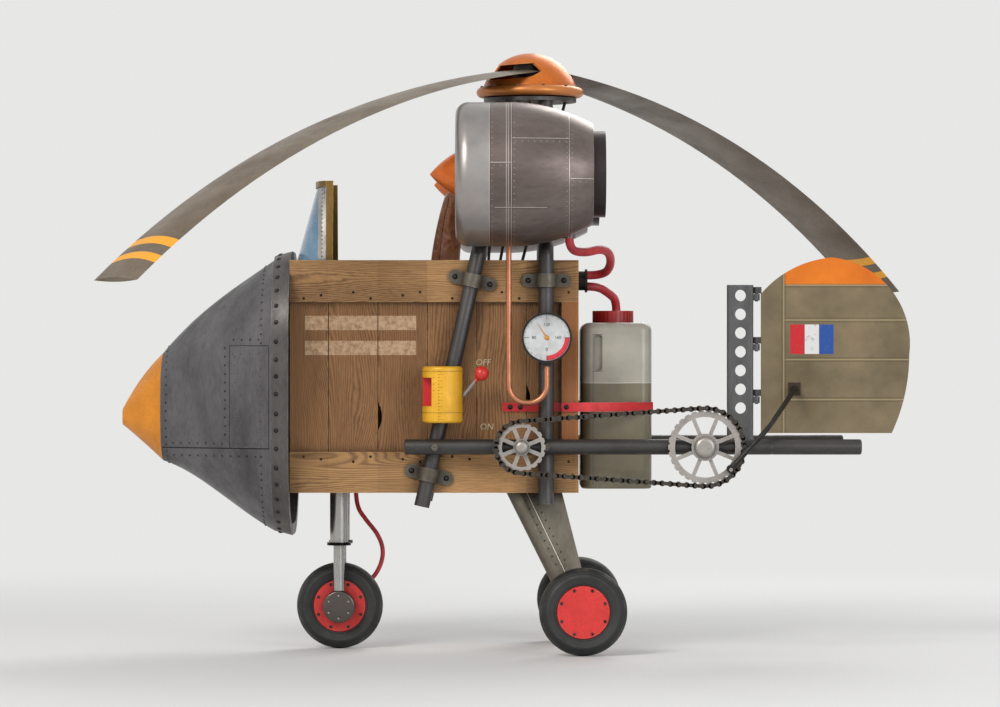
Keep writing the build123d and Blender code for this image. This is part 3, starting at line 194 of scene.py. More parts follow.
def math_of(tree, operation, *values, **settings):
    return add(tree, "ShaderNodeMath", dict(enumerate(values)), operation=operation, **settings).outputs[0]


def mixed(tree, share, first, second, blend="MIX"):
    made = add(tree, "ShaderNodeMix", {0: share, 6: first, 7: second}, data_type="RGBA", blend_type=blend)
    return made.outputs[2]


def spread(tree, value, low, high, to_low=0.0, to_high=1.0):
    made = add(tree, "ShaderNodeMapRange", {0: value, 1: low, 2: high, 3: to_low, 4: to_high})
    return made.outputs[0]


def noise(tree, place, scale, detail=4.0, rough=0.55, twist=0.0):
    made = add(tree, "ShaderNodeTexNoise", {"Vector": place, "Scale": scale, "Detail": detail,
                                            "Roughness": rough, "Distortion": twist})
    return made.outputs[0]


def new_group(name, inputs, outputs):
    # Inputs are (label, kind, starting value), outputs are (label, kind)
    tree = bpy.data.node_groups.new(name, "ShaderNodeTree")
    for label, kind, value in inputs:
        socket = tree.interface.new_socket(label, in_out="INPUT", socket_type=f"NodeSocket{kind}")
        socket.default_value = value
    for label, kind in outputs:
        tree.interface.new_socket(label, in_out="OUTPUT", socket_type=f"NodeSocket{kind}")
    return tree, tree.nodes.new("NodeGroupInput").outputs, tree.nodes.new("NodeGroupOutput").inputs


def new_material(name, roughness=0.6, metallic=0.0, **sockets):
    material = bpy.data.materials.new(name)
    material.use_nodes = True
    tree = material.node_tree
    shader = tree.nodes["Principled BSDF"]
    for label, value in {"Roughness": roughness, "Metallic": metallic, **sockets}.items():
        shader.inputs[label].default_value = value
    return material, tree, shader


def use_group(tree, group, **values):
    made = tree.nodes.new("ShaderNodeGroup")
    made.node_tree = group
    for label, value in values.items():
        put(tree, made.inputs[label.replace("_", " ")], value)
    return made.outputs


def give_relief(tree, shader, height, strength=0.5, distance=0.001):
    relief = add(tree, "ShaderNodeBump", {"Height": height, "Strength": strength, "Distance": distance})
    tree.links.new(relief.outputs[0], shader.inputs["Normal"])


# The grain runs along the direction in which the coordinates are squeezed, round a few knots
grain, grain_in, grain_out = new_group(
    "pine_grain",
    [("Place", "Vector", (0, 0, 0)), ("Light", "Color", (1, 1, 1, 1)), ("Dark", "Color", (0, 0, 0, 1)),
     ("Rings", "Float", 34.0)],
    [("Color", "Color"), ("Height", "Float")],
)
warp = add(grain, "ShaderNodeTexNoise", {"Vector": grain_in["Place"], "Scale": 2.2, "Detail": 2.0})
warp_push = add(grain, "ShaderNodeVectorMath", {0: warp.outputs["Color"], 1: (0.5, 0.5, 0.5)},
                operation="SUBTRACT")
warp_far = add(grain, "ShaderNodeVectorMath", {0: warp_push.outputs[0], "Scale": 0.75}, operation="SCALE")
warped = add(grain, "ShaderNodeVectorMath", {0: grain_in["Place"], 1: warp_far.outputs[0]}, operation="ADD")
rings = add(grain, "ShaderNodeTexWave", {"Vector": warped.outputs[0], "Scale": grain_in["Rings"],
                                         "Distortion": 3.5, "Detail": 3.0, "Detail Scale": 1.4},
            wave_type="BANDS")
ring_mask = spread(grain, rings.outputs["Fac"], 0.35, 0.95)
pores = noise(grain, warped.outputs[0], 46.0, 6.0, 0.7)
pore_mask = spread(grain, pores, 0.38, 0.62)
blotch = noise(grain, grain_in["Place"], 3.0, 3.0)
shade = math_of(grain, "MULTIPLY", ring_mask, 0.40)
shade = math_of(grain, "ADD", shade, math_of(grain, "MULTIPLY", pore_mask, 0.24))
shade = math_of(grain, "ADD", shade, spread(grain, blotch, 0.3, 0.7, -0.12, 0.30))
put(grain, grain_out["Color"], mixed(grain, shade, grain_in["Light"], grain_in["Dark"]))
put(grain, grain_out["Height"], math_of(grain, "SUBTRACT", 1.0, shade))

# Wear along edges, where a softened normal leaves the true one, and grime with painted shade in the corners,
# where ambient occlusion darkens them
wear_and_shade_group, worn_in, worn_out = new_group(
    "worn_edges_and_corner_shade",
    [("Edge", "Float", 0.004), ("Scale", "Float", 30.0), ("Reach", "Float", 0.05)],
    [("Wear", "Float"), ("Grime_and_shade", "Float")],
)
soft = add(wear_and_shade_group, "ShaderNodeBevel", {"Radius": worn_in["Edge"]}, samples=4)
true = add(wear_and_shade_group, "ShaderNodeNewGeometry")
likeness = add(wear_and_shade_group, "ShaderNodeVectorMath", {0: soft.outputs[0], 1: true.outputs["Normal"]},
               operation="DOT_PRODUCT")
edge_mask = spread(wear_and_shade_group, likeness.outputs["Value"], 0.995, 0.90)
worn_place = add(wear_and_shade_group, "ShaderNodeTexCoord").outputs["Object"]
chips = spread(wear_and_shade_group, noise(wear_and_shade_group, worn_place, worn_in["Scale"], 6.0, 0.65), 0.42, 0.58)
put(wear_and_shade_group, worn_out["Wear"], math_of(wear_and_shade_group, "MULTIPLY", edge_mask, chips))
# Ambient occlusion darkens the corners: painted shade, made patchy like grime
corner_light = add(wear_and_shade_group, "ShaderNodeAmbientOcclusion", {"Distance": worn_in["Reach"]}, samples=4)
dirt_and_shade = math_of(wear_and_shade_group, "SUBTRACT", 1.0, corner_light.outputs["AO"])
patchy = spread(wear_and_shade_group, noise(wear_and_shade_group, worn_place, worn_in["Scale"], 4.0), 0.3, 0.7, 0.55, 1.25)
put(wear_and_shade_group, worn_out["Grime_and_shade"], math_of(wear_and_shade_group, "MULTIPLY", dirt_and_shade, patchy, use_clamp=True))


def pine_material():
    material, tree, shader = new_material("weathered_pine", 0.72)
    place = add(tree, "ShaderNodeTexCoord").outputs["Object"]
    split = add(tree, "ShaderNodeSeparateXYZ", {0: place})
    x, y, z = split.outputs
    # Each plank is cut from another part of the tree
    plank = math_of(tree, "FLOOR", math_of(tree, "DIVIDE", math_of(tree, "SUBTRACT", x, FIRST_PLANK_EDGE),
                                           PLANK_PITCH))
    shift = math_of(tree, "MULTIPLY", plank, 3.37)
    upright = add(tree, "ShaderNodeCombineXYZ", {0: math_of(tree, "MULTIPLY", x, 1.6), 1: y,
                                                 2: math_of(tree, "ADD", math_of(tree, "MULTIPLY", z, 0.30),
                                                            shift)})
    level = add(tree, "ShaderNodeCombineXYZ", {0: math_of(tree, "MULTIPLY", z, 1.6), 1: y,
                                               2: math_of(tree, "MULTIPLY", x, 0.26)})
    proud = math_of(tree, "GREATER_THAN", math_of(tree, "ABSOLUTE", y), PLANK_FACE + 0.0015)
    between = math_of(tree, "MULTIPLY", math_of(tree, "GREATER_THAN", z, RAIL_FOOT_Z + FOOT_RAIL),
                      math_of(tree, "LESS_THAN", z, RAIL_TOP_Z - TOP_RAIL))
    rail = math_of(tree, "MULTIPLY", proud, math_of(tree, "SUBTRACT", 1.0, between))
    post = math_of(tree, "MULTIPLY", proud, between)
    stand = use_group(tree, grain, Place=upright.outputs[0], Light=srgb(*PINE["light"]),
                      Dark=srgb(*PINE["dark"]), Rings=22.0)
    lie = use_group(tree, grain, Place=level.outputs[0], Light=srgb(*PINE["rail"]), Dark=srgb(*PINE["dark"]),
                    Rings=20.0)
    colour = mixed(tree, rail, stand["Color"], lie["Color"])
    colour = mixed(tree, math_of(tree, "MULTIPLY", post, 0.6), colour, srgb(*PINE["post"]))
    tone = add(tree, "ShaderNodeTexWhiteNoise", {"W": plank}, noise_dimensions="1D")
    colour = mixed(tree, 1.0, colour, mixed(tree, tone.outputs["Value"], (0.78, 0.76, 0.74, 1), (1, 1, 1, 1)),
                   "MULTIPLY")
    # Two plain bars of thin pale paint on the side planks, rubbed down to the grain
    bars = 0.0
    for low, high in PALE_BARS:
        inside = math_of(tree, "MULTIPLY", math_of(tree, "GREATER_THAN", z, low),
                         math_of(tree, "LESS_THAN", z, high))
        bars = math_of(tree, "ADD", inside, bars)
    along = math_of(tree, "MULTIPLY", math_of(tree, "GREATER_THAN", x, PALE_BAR_X[0]),
                    math_of(tree, "LESS_THAN", x, PALE_BAR_X[1]))
    outer_face = math_of(tree, "GREATER_THAN", math_of(tree, "ABSOLUTE", y), PLANK_FACE - 0.002)
    bars = math_of(tree, "MULTIPLY", math_of(tree, "MULTIPLY", bars, along), outer_face)
    rubbed = spread(tree, noise(tree, place, 55.0, 7.0, 0.7), 0.36, 0.58, 0.25, 0.9)
    colour = mixed(tree, math_of(tree, "MULTIPLY", bars, rubbed), colour, srgb(*PINE["paint"]))
    wear_and_shade = use_group(tree, wear_and_shade_group, Edge=0.004, Scale=24.0, Reach=0.07)
    colour = mixed(tree, math_of(tree, "MULTIPLY", wear_and_shade["Wear"], 0.7), colour, srgb(214, 176, 126))
    # Corners of the crate darken with grime and painted shade
    colour = mixed(tree, math_of(tree, "MULTIPLY", wear_and_shade["Grime_and_shade"], 0.85), colour, srgb(44, 30, 20))
    tree.links.new(colour, shader.inputs["Base Color"])
    height = math_of(tree, "ADD", math_of(tree, "MULTIPLY", stand["Height"],
                                          math_of(tree, "SUBTRACT", 1.0, rail)),
                     math_of(tree, "MULTIPLY", lie["Height"], rail))
    give_relief(tree, shader, height, 0.55, 0.0012)
    return material


def link_piece(name, mesh):
    made = bpy.data.objects.new(name, mesh)
    bpy.context.scene.collection.objects.link(made)
    return made


def fix(piece, body, slot, *nodes):
    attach(piece, body)
    if nodes:
        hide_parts(*nodes)
    return piece


def dressed(node, material, slot, angle=28):
    # A smooth-shaded copy of a solid, with its own edges kept sharp
    source = frame["nodes"][node]
    mesh = source.data.copy()
    if "custom_normal" in mesh.attributes:
        mesh.attributes.remove(mesh.attributes["custom_normal"])
    work = bmesh.new()
    work.from_mesh(mesh)
    bmesh.ops.remove_doubles(work, verts=work.verts, dist=2e-5)
    for face in work.faces:
        face.smooth = True
        face.material_index = 0
    for edge in work.edges:
        edge.smooth = edge.calc_face_angle(math.pi) < math.radians(angle)
    work.to_mesh(mesh)
    work.free()
    mesh.materials.clear()
    mesh.materials.append(material)
    return fix(link_piece(f"{node}_finish", mesh), source["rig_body"], slot, node)


pine = pine_material()
for node in ("crate_side_left", "crate_side_right", "crate_front", "crate_rear", "crate_floor", "crate_deck",
             "seat_pan"):
    frame["nodes"][node].data.materials.clear()
    frame["nodes"][node].data.materials.append(pine)
# A batten inside the right wall covers the gap between its last two planks
batten_mesh = bpy.data.meshes.new("gap_batten")
batten_work = bmesh.new()
bmesh.ops.create_cube(batten_work, size=1.0)
for vertex in batten_work.verts:
    for axis, (low, high) in enumerate(GAP_BATTEN):
        vertex.co[axis] = high if vertex.co[axis] > 0 else low
bmesh.ops.bevel(batten_work, geom=batten_work.edges[:], offset=0.0015, segments=2, affect="EDGES")
batten_work.to_mesh(batten_mesh)
batten_work.free()
batten_mesh.materials.append(pine)
fix(link_piece("gap_batten", batten_mesh), BODY, "plank_wood")

# Fasteners: one tree of nodes sets a head on every point of a mesh, turned the way the point faces


def socket_id(tree, label):
    return next(item.identifier for item in tree.interface.items_tree
                if item.name == label and item.in_out == "INPUT")


def fastener_tree(name, sides, rings):
    # A round head is a squashed ball, and a bolt head is a short prism with a smaller stud on it
    tree = bpy.data.node_groups.new(name, "GeometryNodeTree")
    tree.interface.new_socket("Geometry", in_out="INPUT", socket_type="NodeSocketGeometry")
    for label, value in (("Radius", 0.005), ("Height", 0.003)):
        tree.interface.new_socket(label, in_out="INPUT", socket_type="NodeSocketFloat").default_value = value
    tree.interface.new_socket("Finish", in_out="INPUT", socket_type="NodeSocketMaterial")
    tree.interface.new_socket("Geometry", in_out="OUTPUT", socket_type="NodeSocketGeometry")
    source = tree.nodes.new("NodeGroupInput").outputs
    if rings:
        head = add(tree, "GeometryNodeMeshUVSphere",
                   {"Segments": sides, "Rings": rings, "Radius": 1.0}).outputs[0]
    else:
        prism = add(tree, "GeometryNodeMeshCylinder",
                    {"Vertices": sides, "Radius": 1.0, "Depth": 2.0}).outputs[0]
        stud = add(tree, "GeometryNodeMeshCylinder", {"Vertices": 10, "Radius": 0.52, "Depth": 3.0}).outputs[0]
        head = add(tree, "GeometryNodeJoinGeometry")
        tree.links.new(prism, head.inputs[0])
        tree.links.new(stud, head.inputs[0])
        head = head.outputs[0]
    size = add(tree, "ShaderNodeCombineXYZ", {0: source["Radius"], 1: source["Radius"], 2: source["Height"]})
    head = add(tree, "GeometryNodeTransform", {"Geometry": head, "Scale": size.outputs[0]}).outputs[0]
    facing = add(tree, "GeometryNodeInputNamedAttribute", {"Name": "facing"},
                 data_type="FLOAT_VECTOR").outputs[0]
    turn = add(tree, "FunctionNodeAlignRotationToVector", {"Vector": facing}, axis="Z").outputs[0]
    heads = add(tree, "GeometryNodeInstanceOnPoints",
                {"Points": source["Geometry"], "Instance": head, "Rotation": turn})
    real = add(tree, "GeometryNodeRealizeInstances", {0: heads.outputs[0]}).outputs[0]
    smooth = add(tree, "GeometryNodeSetShadeSmooth", {0: real, "Shade Smooth": bool(rings)}).outputs[0]
    done = add(tree, "GeometryNodeSetMaterial", {0: smooth, "Material": source["Finish"]}).outputs[0]
    put(tree, tree.nodes.new("NodeGroupOutput").inputs[0], done)
    return tree


round_heads = fastener_tree("round_heads", 8, 6)
bolt_heads = fastener_tree("bolt_heads", 6, 0)


def grown(name, tree, start, settings):
    # The tree's result on a starting mesh, as a plain mesh
    carrier = link_piece(name, start)
    modifier = carrier.modifiers.new(tree.name, "NODES")
    modifier.node_group = tree
    for label, value in settings.items():
        modifier[socket_id(tree, label)] = value
    bpy.context.view_layer.update()
    result = bpy.data.meshes.new_from_object(carrier.evaluated_get(bpy.context.evaluated_depsgraph_get()))
    carrier.modifiers.clear()
    carrier.data = result
    return carrier


def fasteners(name, tree, spots, radius, height, material, slot, body=BODY):
    # Spots are (place, facing); each head stands on its place
    start = bpy.data.meshes.new(name)
    start.from_pydata([tuple(place) for place, _ in spots], [], [])
    facing = start.attributes.new("facing", "FLOAT_VECTOR", "POINT")
    facing.data.foreach_set("vector", [value for _, way in spots for value in way])
    piece = grown(name, tree, start, {"Radius": radius, "Height": height, "Finish": material})
    return fix(piece, body, slot)


def metal(name, fresh, grime, bare, roughness, metallic, scale=14.0, patch=0.5, edge=0.003, edge_wear=0.8,
          dirt_and_shade=0.7, relief=0.25, stretch=(1, 1, 1), **sockets):
    # Painted or bare metal: blotches of age, worn edges, and grime with painted shade in the corners
    material, tree, shader = new_material(name, roughness, metallic, **sockets)
    place = add(tree, "ShaderNodeTexCoord").outputs["Object"]
    drawn = add(tree, "ShaderNodeVectorMath", {0: place, 1: stretch}, operation="MULTIPLY").outputs[0]
    blotches = spread(tree, noise(tree, drawn, scale, 7.0, 0.62), 0.36, 0.70)
    speckle = noise(tree, drawn, scale * 14, 3.0, 0.6)
    colour = mixed(tree, math_of(tree, "MULTIPLY", blotches, patch), srgb(*fresh), srgb(*grime))
    colour = mixed(tree, spread(tree, speckle, 0.45, 0.75, 0.0, 0.35), colour, srgb(*grime))
    wear_and_shade = use_group(tree, wear_and_shade_group, Edge=edge, Scale=scale * 3, Reach=0.05)
    colour = mixed(tree, math_of(tree, "MULTIPLY", wear_and_shade["Wear"], edge_wear), colour, srgb(*bare))
    # Corners go dark in a quarter of the grime colour: grime and painted shade together
    colour = mixed(tree, math_of(tree, "MULTIPLY", wear_and_shade["Grime_and_shade"], dirt_and_shade), colour,
                   srgb(*[value * 0.25 for value in grime]))
    tree.links.new(colour, shader.inputs["Base Color"])
    rough = spread(tree, math_of(tree, "ADD", math_of(tree, "MULTIPLY", blotches, 0.6),
                                 math_of(tree, "MULTIPLY", speckle, 0.4)), 0.0, 1.0, roughness - 0.12,
                   roughness + 0.18)
    tree.links.new(rough, shader.inputs["Roughness"])
    give_relief(tree, shader, math_of(tree, "ADD", speckle, blotches), relief, 0.0006)
    return material, tree, shader, colour


nail_iron = metal("nail_iron", (58, 46, 38), (30, 22, 18), (110, 92, 76), 0.6, 0.7)[0]
nails = []
for side in (-1, 1):
    for row, (low, step) in enumerate(((RAIL_TOP_Z - TOP_RAIL + 0.026, 0.012),
                                       (RAIL_FOOT_Z + FOOT_RAIL - 0.028, -0.010))):
        x = CRATE_FRONT + 0.055
        index = 0
        while x < CRATE_REAR - 0.02:
            nails.append(((x, side * CRATE_HALF, low + step * (index % 3 - 1)), (0, side, 0)))
            x += NAIL_GAP if index % 2 == 0 else NAIL_PITCH - NAIL_GAP
            index += 1
fasteners("crate_nails", round_heads, nails, NAIL_R, 0.0022, nail_iron, "clamp_iron")

# Nose: a beaten steel cone in three plates with a raised access panel, riveted to a heavy ring that
# bolts it to the crate. Its tip is a separate cap in ochre paint.
SEAM_WIDTH = 0.0032
NOSE_CENTRE_Z = 1.0
RING_CENTRE_Z = 1.02
RIVET_R = 0.0042
RING_RIVET_R = 0.0095
RIVET_PITCH = 0.034
RING_RIVET_PITCH = 0.070
NOSE_PANEL = (AXIS_X - 1.176, AXIS_X - 1.022, 0.810, 1.206)
NOSE_SEAM_Z = 0.808
CAP_SEAM_X = AXIS_X - 1.464
RING_FRONT_X = AXIS_X - 1.012

nose_steel = metal("nose_steel", (112, 110, 112), (66, 64, 66), (150, 148, 146), 0.44, 0.72, 7.0, 0.75,
                   relief=0.3, stretch=(1, 1, 0.35))[0]
ring_steel = metal("ring_steel", (104, 100, 98), (60, 57, 56), (160, 156, 150), 0.46, 0.7, 9.0, 0.6,
                   stretch=(1, 1, 0.3))[0]
rivet_steel = metal("rivet_steel", (60, 58, 58), (30, 29, 29), (120, 118, 116), 0.42, 0.8)[0]
seam_dark = metal("seam_gap", (26, 24, 24), (14, 13, 13), (40, 38, 38), 0.7, 0.2)[0]
cap_ochre = metal("cap_ochre", (222, 140, 38), (176, 104, 30), (120, 92, 60), 0.48, 0.15, 9.0, 0.55, edge=0.003,
                  relief=0.25)[0]
nose_skin = dressed("nose_skin", nose_steel, "nose_steel", 35)
nose_ring = dressed("nose_ring", ring_steel, "nose_steel")
dressed("nose_cap", cap_ochre, "orange_paint", 35)


def surface_of(*pieces):
    # The joined surface of some meshes, for rays to find
    points, faces = [], []
    for piece in pieces:
        first = len(points)
        points += [vertex.co.copy() for vertex in piece.data.vertices]
        faces += [[first + index for index in face.vertices] for face in piece.data.polygons]
    return BVHTree.FromPolygons(points, faces)


def from_side(surface, x, z, side):
    # Place and outward direction where a ray along y meets the surface
    place, facing, _, _ = surface.ray_cast(Vector((x, side * 3, z)), Vector((0, -side, 0)))
    return place, facing


def girth(surface, x, pitch, centre_z=NOSE_CENTRE_Z, start=0.0):
    # Evenly spaced spots all round a hollow body, at one station
    ring = []
    for index in range(361):
        angle = math.radians(index + start)
        way = Vector((0, math.cos(angle), math.sin(angle)))
        hit = surface.ray_cast(Vector((x, 0, centre_z)) + way * 2, -way)
        if hit[0]:
            ring.append((hit[0], hit[1]))
    spots, walked = [], 0.0
    total = sum((b[0] - a[0]).length for a, b in zip(ring, ring[1:]))
    step = total / max(1, round(total / pitch))
    for before, after in zip(ring, ring[1:]):
        walked += (after[0] - before[0]).length
        if walked >= step - 1e-4:
            spots.append(after)
            walked -= step
    return spots


def skin_patch(name, surface, box, side, lift, material, slot, body=BODY, cell=0.02):
    # A thin plate that follows a curved surface inside a rectangle seen from the side
    x0, x1, z0, z1 = box
    columns = max(1, round(abs(x1 - x0) / cell))
    rows = max(1, round(abs(z1 - z0) / cell))
    top, low = [], []
    for row in range(rows + 1):
        for column in range(columns + 1):
            x, z = x0 + (x1 - x0) * column / columns, z0 + (z1 - z0) * row / rows
            place, facing = from_side(surface, x, z, side)
            if facing.y * side < 0:
                facing = -facing
            top.append(place + facing * lift)
            low.append(place - facing * lift)
    wide = columns + 1
    quads = [(r * wide + c, r * wide + c + 1, (r + 1) * wide + c + 1, (r + 1) * wide + c)
             for r in range(rows) for c in range(columns)]
    deep = len(top)
    rim = (list(range(columns)) + [r * wide + columns for r in range(rows)]
           + [rows * wide + c for c in range(columns, 0, -1)] + [r * wide for r in range(rows, 0, -1)])
    walls = [(here, ahead, ahead + deep, here + deep) for here, ahead in zip(rim, rim[1:] + rim[:1])]
    mesh = bpy.data.meshes.new(name)
    mesh.from_pydata(top + low, [], quads + [tuple(deep + i for i in reversed(quad)) for quad in quads] + walls)
    work = bmesh.new()
    work.from_mesh(mesh)
    bmesh.ops.recalc_face_normals(work, faces=work.faces)
    work.to_mesh(mesh)
    work.free()
    mesh.materials.append(material)
    return fix(link_piece(name, mesh), body, slot)


skin = surface_of(nose_skin)
ring_skin = surface_of(nose_ring)
panel_x0, panel_x1, panel_z0, panel_z1 = NOSE_PANEL
small_rivets = girth(skin, AXIS_X - 1.052, RIVET_PITCH) + girth(skin, CAP_SEAM_X + 0.022, RIVET_PITCH)
for side, word in ((-1, "left"), (1, "right")):
    skin_patch(f"nose_panel_{word}", skin, NOSE_PANEL, side, 0.0022, nose_steel, "nose_steel")
    seam_run = (CAP_SEAM_X + 0.004, RING_FRONT_X - 0.004, NOSE_SEAM_Z - SEAM_WIDTH, NOSE_SEAM_Z)
    skin_patch(f"nose_seam_{word}", skin, seam_run, side, 0.0009, seam_dark, "nose_steel")
    rim = ((panel_x0 - SEAM_WIDTH, panel_x0, panel_z0, panel_z1 + SEAM_WIDTH),
           (panel_x0 - SEAM_WIDTH, panel_x1, panel_z1, panel_z1 + SEAM_WIDTH))
    for number, run in enumerate(rim):
        skin_patch(f"nose_panel_rim_{word}_{number}", skin, run, side, 0.0009, seam_dark, "nose_steel")
    x = CAP_SEAM_X + 0.05
    while x < RING_FRONT_X - 0.05:
        for z in (NOSE_SEAM_Z + 0.017, NOSE_SEAM_Z - 0.032):
            small_rivets.append(from_side(skin, x, z, side))
        x += RIVET_PITCH
    z = panel_z0 + 0.05
    while z < panel_z1 + 0.02:
        small_rivets.append(from_side(skin, panel_x0 - 0.022, z, side))
        if z < panel_z1 - 0.02:
            small_rivets.append(from_side(skin, panel_x0 + 0.02, z, side))
        z += RIVET_PITCH
    x = panel_x0 + 0.012
    while x < panel_x1 - 0.03:
        small_rivets.append(from_side(skin, x, panel_z1 + 0.026, side))
        small_rivets.append(from_side(skin, x, panel_z1 - 0.03, side))
        x += RIVET_PITCH
fasteners("nose_rivets", round_heads, small_rivets, RIVET_R, 0.0026, rivet_steel, "nose_steel")
ring_x = RING_FRONT_X + 0.020
ring_rivets = girth(ring_skin, ring_x, RING_RIVET_PITCH, RING_CENTRE_Z)
fasteners("ring_rivets", round_heads, ring_rivets, RING_RIVET_R, 0.0055, rivet_steel, "nose_steel")

# Windscreen: a bent sheet of blue-tinted plastic between a pale top rail and a riveted strip down each
# rear edge, backed by a brass-yellow bar.
tint, tint_tree, tint_shader = new_material("blue_screen", 0.08, 0.0, IOR=1.45, Alpha=0.62)
tint_place = add(tint_tree, "ShaderNodeTexCoord").outputs["Object"]
tint_height = add(tint_tree, "ShaderNodeSeparateXYZ", {0: tint_place}).outputs[2]
tint_fade = spread(tint_tree, tint_height, 1.54, 1.84)
tint_dust = spread(tint_tree, noise(tint_tree, tint_place, 22.0, 6.0, 0.6), 0.4, 0.75, 0.0, 0.35)
tint_colour = mixed(tint_tree, tint_fade, srgb(120, 168, 200), srgb(58, 98, 136))
tint_colour = mixed(tint_tree, tint_dust, tint_colour, srgb(196, 204, 206))
tint_tree.links.new(tint_colour, tint_shader.inputs["Base Color"])
tint_tree.links.new(spread(tint_tree, tint_dust, 0.0, 0.35, 0.06, 0.3), tint_shader.inputs["Roughness"])
dressed("windscreen", tint, "screen_glass", 40)
brass = metal("screen_brass", (132, 104, 56), (78, 58, 30), (206, 172, 84), 0.42, 0.75, 18.0, 0.7,
              stretch=(1, 1, 0.3))[0]
dressed("windscreen_frame", brass, "frame_brass", 30)
strip_steel = metal("strip_steel", (168, 164, 158), (110, 104, 98), (214, 210, 204), 0.4, 0.6)[0]
screen_low, screen_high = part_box("windscreen")
STRIP_WIDTH = 0.030
SCREEN_RIVET_PITCH = 0.0165
screen_rivets = []
screen_skin = surface_of(bpy.data.objects["windscreen_finish"])
for side, word in ((-1, "left"), (1, "right")):
    strip_x = screen_high.x - 0.002
    run = (strip_x - STRIP_WIDTH, strip_x, screen_low.z + 0.004, screen_high.z - 0.004)
    skin_patch(f"screen_strip_{word}", screen_skin, run, side, 0.0016, strip_steel, "frame_brass")
    z = screen_low.z + 0.016
    while z < screen_high.z - 0.01:
        screen_rivets.append(from_side(screen_skin, strip_x - STRIP_WIDTH / 2, z, side))
        z += SCREEN_RIVET_PITCH
fasteners("screen_rivets", round_heads, screen_rivets, 0.0032, 0.0034, rivet_steel, "frame_brass")


# Posts and booms: four bent steel tubes carry the rotor from the crate's rails, held by bolted saddle
# clamps. Two straight booms are bolted across them and run back to the tail.
LEAN_FOOT = (AXIS_X - 0.424, 0.590)
LEAN_RUN = (0.360, 1.606)
POST_X = AXIS_X + 0.060
BOOM_Z = 0.814
BOOM_FACE = 0.4586
CLAMP_FACE = CRATE_HALF + 0.010
CLAMP_BOLT_REACH = 0.070
CLAMP_HIGH_Z = 1.464
CLAMP_LOW_Z = 0.704


def lean_x(z):
    # Where the leaning post is at a height
    return LEAN_FOOT[0] + (z - LEAN_FOOT[1]) * LEAN_RUN[0] / LEAN_RUN[1]


tube_steel = metal("tube_steel", (88, 86, 85), (52, 50, 49), (146, 142, 136), 0.38, 0.7, 16.0, 0.6,
                   stretch=(1, 1, 0.25))[0]
boom_steel = metal("boom_steel", (80, 78, 76), (46, 44, 43), (140, 136, 130), 0.40, 0.65, 16.0, 0.6,
                   stretch=(0.25, 1, 1))[0]
clamp_iron = metal("clamp_iron", (104, 98, 88), (60, 54, 46), (158, 150, 136), 0.46, 0.6, 20.0, 0.7)[0]
for node in ("mast_posts_left", "mast_posts_right", "head_plate"):
    dressed(node, tube_steel, "dark_steel")
for node in ("boom_left", "boom_right", "boom_cross_tube", "nose_axle"):
    dressed(node, boom_steel, "dark_steel")
clamp_bolts, boom_bolts = [], []
lean_way = Vector((LEAN_RUN[1], 0, -LEAN_RUN[0])).normalized()
for side, word in ((-1, "left"), (1, "right")):
    dressed(f"saddle_clamps_{word}", clamp_iron, "clamp_iron")
    for x, z, way in ((lean_x(CLAMP_LOW_Z), CLAMP_LOW_Z, lean_way),
                      (lean_x(CLAMP_HIGH_Z), CLAMP_HIGH_Z, lean_way),
                      (POST_X, CLAMP_HIGH_Z, Vector((1, 0, 0)))):
        for reach in (-CLAMP_BOLT_REACH, CLAMP_BOLT_REACH):
            clamp_bolts.append((Vector((x, side * CLAMP_FACE, z)) + way * reach, (0, side, 0)))
    for x in (lean_x(BOOM_Z), POST_X):
        boom_bolts.append(((x, side * BOOM_FACE, BOOM_Z), (0, side, 0)))
fasteners("clamp_bolts", round_heads, clamp_bolts, 0.0115, 0.0075, rivet_steel, "clamp_iron")
fasteners("boom_bolts", bolt_heads, boom_bolts, 0.015, 0.0045, clamp_iron, "clamp_iron")

# Engine pods: spun aluminium nacelles with a polished lip, darker riveted panels behind it and a
# sooty nozzle ring. A fan with a copper-orange spinner turns inside each intake.
POD_FRONT = AXIS_X - 0.292
POD_Y = 0.500
POD_Z = 1.872
LIP_END = AXIS_X - 0.160
POD_HOOPS = (AXIS_X - 0.096, AXIS_X - 0.088, AXIS_X - 0.076, AXIS_X + 0.146)
POD_RIDGES = (
    # start x, end x, height of a straight panel edge
    (AXIS_X - 0.158, AXIS_X - 0.076, 1.906),
    (AXIS_X - 0.076, AXIS_X + 0.146, 2.000),
    (AXIS_X + 0.146, AXIS_X + 0.238, 1.846),
    (AXIS_X - 0.140, AXIS_X + 0.060, 1.735),
)
POD_REAR = AXIS_X + 0.2395
POD_R = 0.27
INTAKE_R = 0.2235
SPINNER_R = 0.0975
NOZZLE_R = 0.169
NOZZLE_DEEP_R = 0.156
POD_RIVET_PITCH = 0.024


def band(tree, value, low, high):
    # 1 between two values, else 0
    return math_of(tree, "MULTIPLY", math_of(tree, "GREATER_THAN", value, low),
                   math_of(tree, "LESS_THAN", value, high))


def coordinates(tree):
    split = add(tree, "ShaderNodeSeparateXYZ", {0: add(tree, "ShaderNodeTexCoord").outputs["Object"]})
    return split.outputs


def away(tree, a, b):
    # Length of a flat step
    total = math_of(tree, "ADD", math_of(tree, "MULTIPLY", a, a), math_of(tree, "MULTIPLY", b, b))
    return math_of(tree, "SQRT", total)


